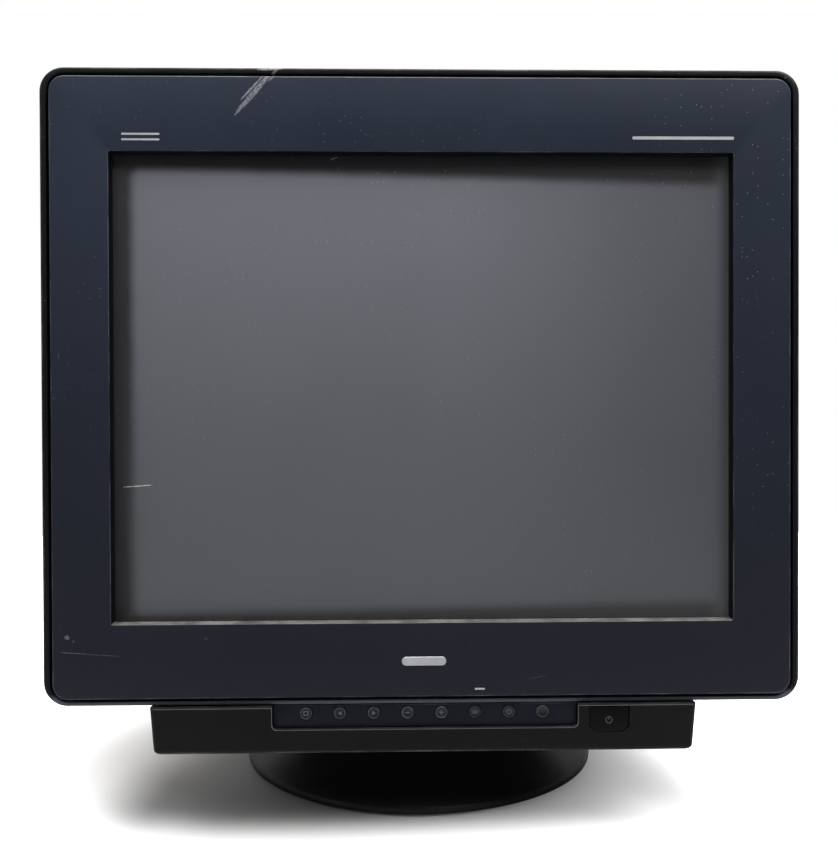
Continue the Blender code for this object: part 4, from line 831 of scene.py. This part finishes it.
def make_tube_face():
    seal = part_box("crt_faceplate")[1].y

    def loop(y, width, height, radius):
        return facing_y(rounded_rect(width, height, radius, 10), y, 0.0, SCREEN_Z)

    loops = [
        loop(GLASS_Y, 0.384, 0.292, 0.018),
        loop(GLASS_Y + 0.0008, 0.3868, 0.2948, 0.020),
        loop(GLASS_Y + 0.003, 0.389, 0.297, 0.024),
        loop(GLASS_Y + 0.012, 0.390, 0.298, 0.028),
        loop(seal, 0.387, 0.295, 0.040),
        loop(seal, 0.367, 0.275, 0.030),
        loop(GLASS_Y + 0.022, 0.368, 0.276, 0.020),
        loop(GLASS_Y + 0.013, 0.356, 0.264, 0.014),
    ]
    return skin("tube_face", loops, "glass", "head", ["crt_faceplate"])


def make_stand():
    """The foot, turned from the same heights as the frame's, with soft edges."""
    flare = smooth_curve([(0.0700, 0.0352), (0.0765, 0.0335), (0.0910, 0.0248), (0.1080, 0.0158), (0.1255, 0.0086)], 5)
    edge = [(0.1284, 0.0073), (0.1297, 0.0062), (0.1302, 0.0048), (0.1301, 0.0032), (0.1297, 0.0021), (0.1291, 0.0018)]
    under = [(0.1285, 0.0018), (0.1040, 0.0018), (0.1040, 0.0045), (0.1240, 0.0045)]
    under += [(0.1238, 0.0058), (0.1065, 0.0128), (0.0895, 0.0218), (0.0750, 0.0305)]
    outer, inner = 0.1335, 0.1305
    below = [(r, TILT_Z - math.sqrt(outer**2 - r * r)) for r in (0.064, 0.050, 0.032, 0.018, 0.0096)]
    dish = [(r, TILT_Z - math.sqrt(inner**2 - r * r)) for r in (0.0096, 0.018, 0.030, 0.042, 0.054, 0.0635)]
    rim = [(0.0640, 0.0358), (0.0655, 0.0360), (0.0690, 0.0358)]
    profile = flare + edge + under + below + dish + rim
    worn_and_highlit_edges = (len(flare) + 1, len(flare) + 2)
    loops = [facing_z(circle(r, 112), z, 0.0, SWIVEL) for r, z in profile]
    return skin("foot_shell", loops, "stand", "base", ["stand_base"], True, worn_and_highlit_edges)


def make_bowl():
    ball, thick = 0.130, 0.003
    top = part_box("tilt_bowl")[1].z
    edge = math.sqrt(ball**2 - (TILT_Z - top + thick) ** 2)
    inner_edge = math.sqrt((ball - thick) ** 2 - (TILT_Z - top) ** 2)
    outside = [0.004 + (edge - 0.004) * i / 12 for i in range(13)]
    profile = [(r, TILT_Z - math.sqrt(ball**2 - r * r)) for r in outside]
    profile += [(0.0950, top - thick), (0.0958, top - thick + 0.0005), (0.0960, top - thick + 0.0012), (0.0960, top)]
    inside = [inner_edge + (0.004 - inner_edge) * i / 8 for i in range(9)]
    profile += [(r, TILT_Z - math.sqrt((ball - thick) ** 2 - r * r)) for r in inside]
    wide = 0.0098
    ahead, behind = ball * math.sin(math.radians(5)) + wide, ball * math.sin(math.radians(10)) + wide
    slot = [(wide, behind), (-wide, behind), (-wide, -ahead), (wide, -ahead)]
    slot = rounded_polygon([(u, v, wide * 0.98) for u, v in slot], 8)
    loops = [facing_z(circle(r, 96), z, 0.0, SWIVEL) for r, z in profile]
    cutter = loose([[facing_z(slot, z, 0.0, SWIVEL) for z in (0.010, 0.040)]])
    return skin("bowl_shell", loops, "stand", "head", ["tilt_bowl"], cutters=[cutter])


# Plain printed bars on the face: x, z, width, height.
MARKS = (
    (-0.1640, 0.4202, 0.0220, 0.0011),
    (-0.1640, 0.4170, 0.0220, 0.0011),
    (0.1530, 0.4188, 0.0600, 0.0018),
    (0.0325, 0.0955, 0.0058, 0.0010),
)


def make_marks():
    """Plain generic badge and print where such objects carry their marks."""
    rows = []
    for inset, rise in ((0, 0.0), (0, 0.0002), (0.0002, 0.0004)):
        outline = rounded_rect(0.0260 - 2 * inset, 0.0052 - 2 * inset, 0.0025 - inset, 8)
        rows.append(facing_y(outline, FRONT - rise, -0.0003, 0.1121))
    skin("badge", rows, "badge", "head")
    for i, (x, z, width, height) in enumerate(MARKS):
        plate(f"mark_{i}", rounded_rect(width, height, height * 0.4, 4), FRONT, x, z, "print", "head", "face_plastic")


def make_rear_details():
    x, z = centre_of("video_socket")
    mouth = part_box("video_socket")[1].y
    corners = [(0.0080, 0.0034), (-0.0080, 0.0034), (-0.0069, -0.0034), (0.0069, -0.0034)]
    shell = rounded_polygon([(u, v, 0.0014) for u, v in corners], 4)
    rows = [facing_y(shell, mouth + depth, x, z) for depth in (0.0001, 0.0003)]
    skin("socket_insulator", rows, "insulator", "head")
    pitch, row_pitch, stagger = 0.0023, 0.0019, (0.0, 0.00115, 0.0)
    for i in range(15):
        row, column = divmod(i, 5)
        px = x + (column - 2) * pitch + stagger[row] - 0.0004
        pz = z + row_pitch * (1 - row)
        # painted shade: each hole is a flat dark disc, not a real hole
        plate(f"socket_hole_shade_{i}", circle(0.00045, 10), mouth + 0.00042, px, pz, "coating", "head", "black_plastic")
    label = rounded_rect(0.090, 0.036, 0.002, 6)
    loops = [facing_y(label, REAR, 0.0, 0.2150), facing_y(label, REAR + 0.0002, 0.0, 0.2150)]
    skin("rating_label", loops, "label", "head")


make_bezel()
make_rim()
make_cabinet()
make_chin()
make_chin_edge()
make_strip()
make_keys()
make_lamp()
make_power()
make_tube_face()
make_stand()
make_bowl()
make_marks()
make_rear_details()


# ---------------------------------------------------------------- floor, light and camera
def make_stage():
    """A white floor: dimmer in front as a light, a painted shadow near the foot, and a painted glow, seen only by the
    camera, that lightens it away from the foot.
    """
    floor_bm = bmesh.new()
    bmesh.ops.create_grid(floor_bm, x_segments=8, y_segments=8, size=1.0)
    bmesh.ops.scale(floor_bm, verts=floor_bm.verts, vec=(3.5, 2.5, 1.0))
    bmesh.ops.translate(floor_bm, verts=floor_bm.verts, vec=(0, -1.2, 0))
    mesh = bpy.data.meshes.new("floor")
    floor_bm.to_mesh(mesh)
    floor_bm.free()
    floor = bpy.data.objects.new("floor", mesh)
    bpy.context.scene.collection.objects.link(floor)
    n = Nodes("floor_white")
    seen = n.new("ShaderNodeLightPath").outputs["Is Camera Ray"]
    across = n.math("MULTIPLY", n.math("ADD", n.xyz[0], 0.085), 0.80)
    deep = n.math("ADD", n.xyz[1], 0.05)
    away = n.math("SQRT", n.math("ADD", n.math("MULTIPLY", across, across), n.math("MULTIPLY", deep, deep)))
    tone = n.mix(n.noise(3, 3.0), (0.88, 0.88, 0.88), (0.92, 0.915, 0.91))
    near = n.math("MAXIMUM", n.band(n.xyz[1], -0.60, -0.28), seen)
    tone = n.mix(near, (0.12, 0.12, 0.12), tone)
    # painted shadow: the floor is darker round the foot
    tone = n.mix(n.band(away, 0.09, 0.17), (0.42, 0.41, 0.40), tone)
    stain = n.mix(n.band(n.noise(26, 5.0, 0.7), 0.55, 0.80, 0.0, 0.25), tone, (0.62, 0.60, 0.57))
    # painted light: the floor glows for the camera, more further from the foot, washing out its shadow
    painted_floor_light = n.math("MULTIPLY", n.band(away, 0.125, 0.28, 0.0, 0.75), seen)
    n.finish(base_color=stain, roughness=0.6, normal=n.bump(n.noise(300), 0.00005, 0.4), emission_strength=painted_floor_light)
    n.put(n.shader.inputs["Emission Color"], (1.0, 1.0, 1.0))
    mesh.materials.append(n.material)


def make_world():
    """White to the camera; as a light, white behind and above, and dimmer in front and below."""
    world = bpy.data.worlds.new("studio")
    bpy.context.scene.world = world
    world.use_nodes = True
    tree = world.node_tree
    tree.nodes.clear()
    place = tree.nodes.new("ShaderNodeTexCoord")
    split = tree.nodes.new("ShaderNodeSeparateXYZ")
    tree.links.new(place.outputs["Generated"], split.inputs[0])

    def ramp(axis, low, high, start, end):
        node = tree.nodes.new("ShaderNodeMapRange")
        for name, value in (("From Min", low), ("From Max", high), ("To Min", start), ("To Max", end)):
            node.inputs[name].default_value = value
        tree.links.new(split.outputs[axis], node.inputs["Value"])
        return node

    def white():
        node = tree.nodes.new("ShaderNodeBackground")
        node.inputs["Color"].default_value = (1.0, 1.0, 1.0, 1.0)
        return node

    depth = ramp("Y", -0.5, 0.5, 0.22, 1.10)
    depth.interpolation_type = "SMOOTHSTEP"
    height = ramp("Z", -0.05, 0.75, 0.10, 1.10)
    level = tree.nodes.new("ShaderNodeMath")
    level.operation = "MULTIPLY"
    tree.links.new(depth.outputs[0], level.inputs[0])
    tree.links.new(height.outputs[0], level.inputs[1])
    light, seen = white(), white()
    tree.links.new(level.outputs[0], light.inputs["Strength"])
    path = tree.nodes.new("ShaderNodeLightPath")
    choose = tree.nodes.new("ShaderNodeMixShader")
    tree.links.new(path.outputs["Is Camera Ray"], choose.inputs[0])
    tree.links.new(light.outputs[0], choose.inputs[1])
    tree.links.new(seen.outputs[0], choose.inputs[2])
    out = tree.nodes.new("ShaderNodeOutputWorld")
    tree.links.new(choose.outputs[0], out.inputs["Surface"])


def area(name, position, target, size, power):
    light = bpy.data.lights.new(name, "AREA")
    light.shape = "RECTANGLE"
    light.size, light.size_y = size
    light.energy = power
    made = bpy.data.objects.new(name, light)
    made.location = position
    made.rotation_euler = (Vector(target) - Vector(position)).to_track_quat("-Z", "Y").to_euler()
    bpy.context.scene.collection.objects.link(made)


make_stage()
make_world()
area("key", (0.75, -1.15, 1.45), (0, -0.1, 0.10), (0.7, 0.6), 20)
area("ceiling", (0.0, 0.0, 2.2), (0, 0, 0), (2.4, 2.4), 95)
area("fill", (-1.25, -0.90, 0.60), (0, -0.1, 0.25), (0.5, 0.5), 2.2)
area("top", (-0.40, -0.85, 1.25), (-0.08, -0.2, 0.4), (0.6, 0.4), 7)

CAMERA = Vector((-0.01423, FRONT - 0.5358, 0.25238))
YAW, PITCH, ROLL = math.radians(1.22), math.radians(0.58), math.radians(-0.18)
FOCAL, LONG_SIDE = 915.0, 863.0  # pixels, for the picture's longer side
camera = bpy.data.cameras.new("camera")
camera.sensor_width = 36.0
camera.lens = FOCAL * camera.sensor_width / LONG_SIDE
camera.clip_start = 0.01
holder = bpy.data.objects.new("camera", camera)
ahead = Vector((math.sin(YAW) * math.cos(PITCH), math.cos(YAW) * math.cos(PITCH), -math.sin(PITCH)))
right = Vector((math.cos(YAW), -math.sin(YAW), 0.0))
above = right.cross(ahead)
c, s = math.cos(ROLL), math.sin(ROLL)
rolled_right, rolled_up = right * c + above * s, above * c - right * s
turn = Matrix((rolled_right, rolled_up, -ahead)).transposed().to_4x4()
holder.matrix_world = Matrix.Translation(CAMERA) @ turn
bpy.context.scene.collection.objects.link(holder)
bpy.context.scene.camera = holder
bpy.context.scene.view_settings.view_transform = "Standard"
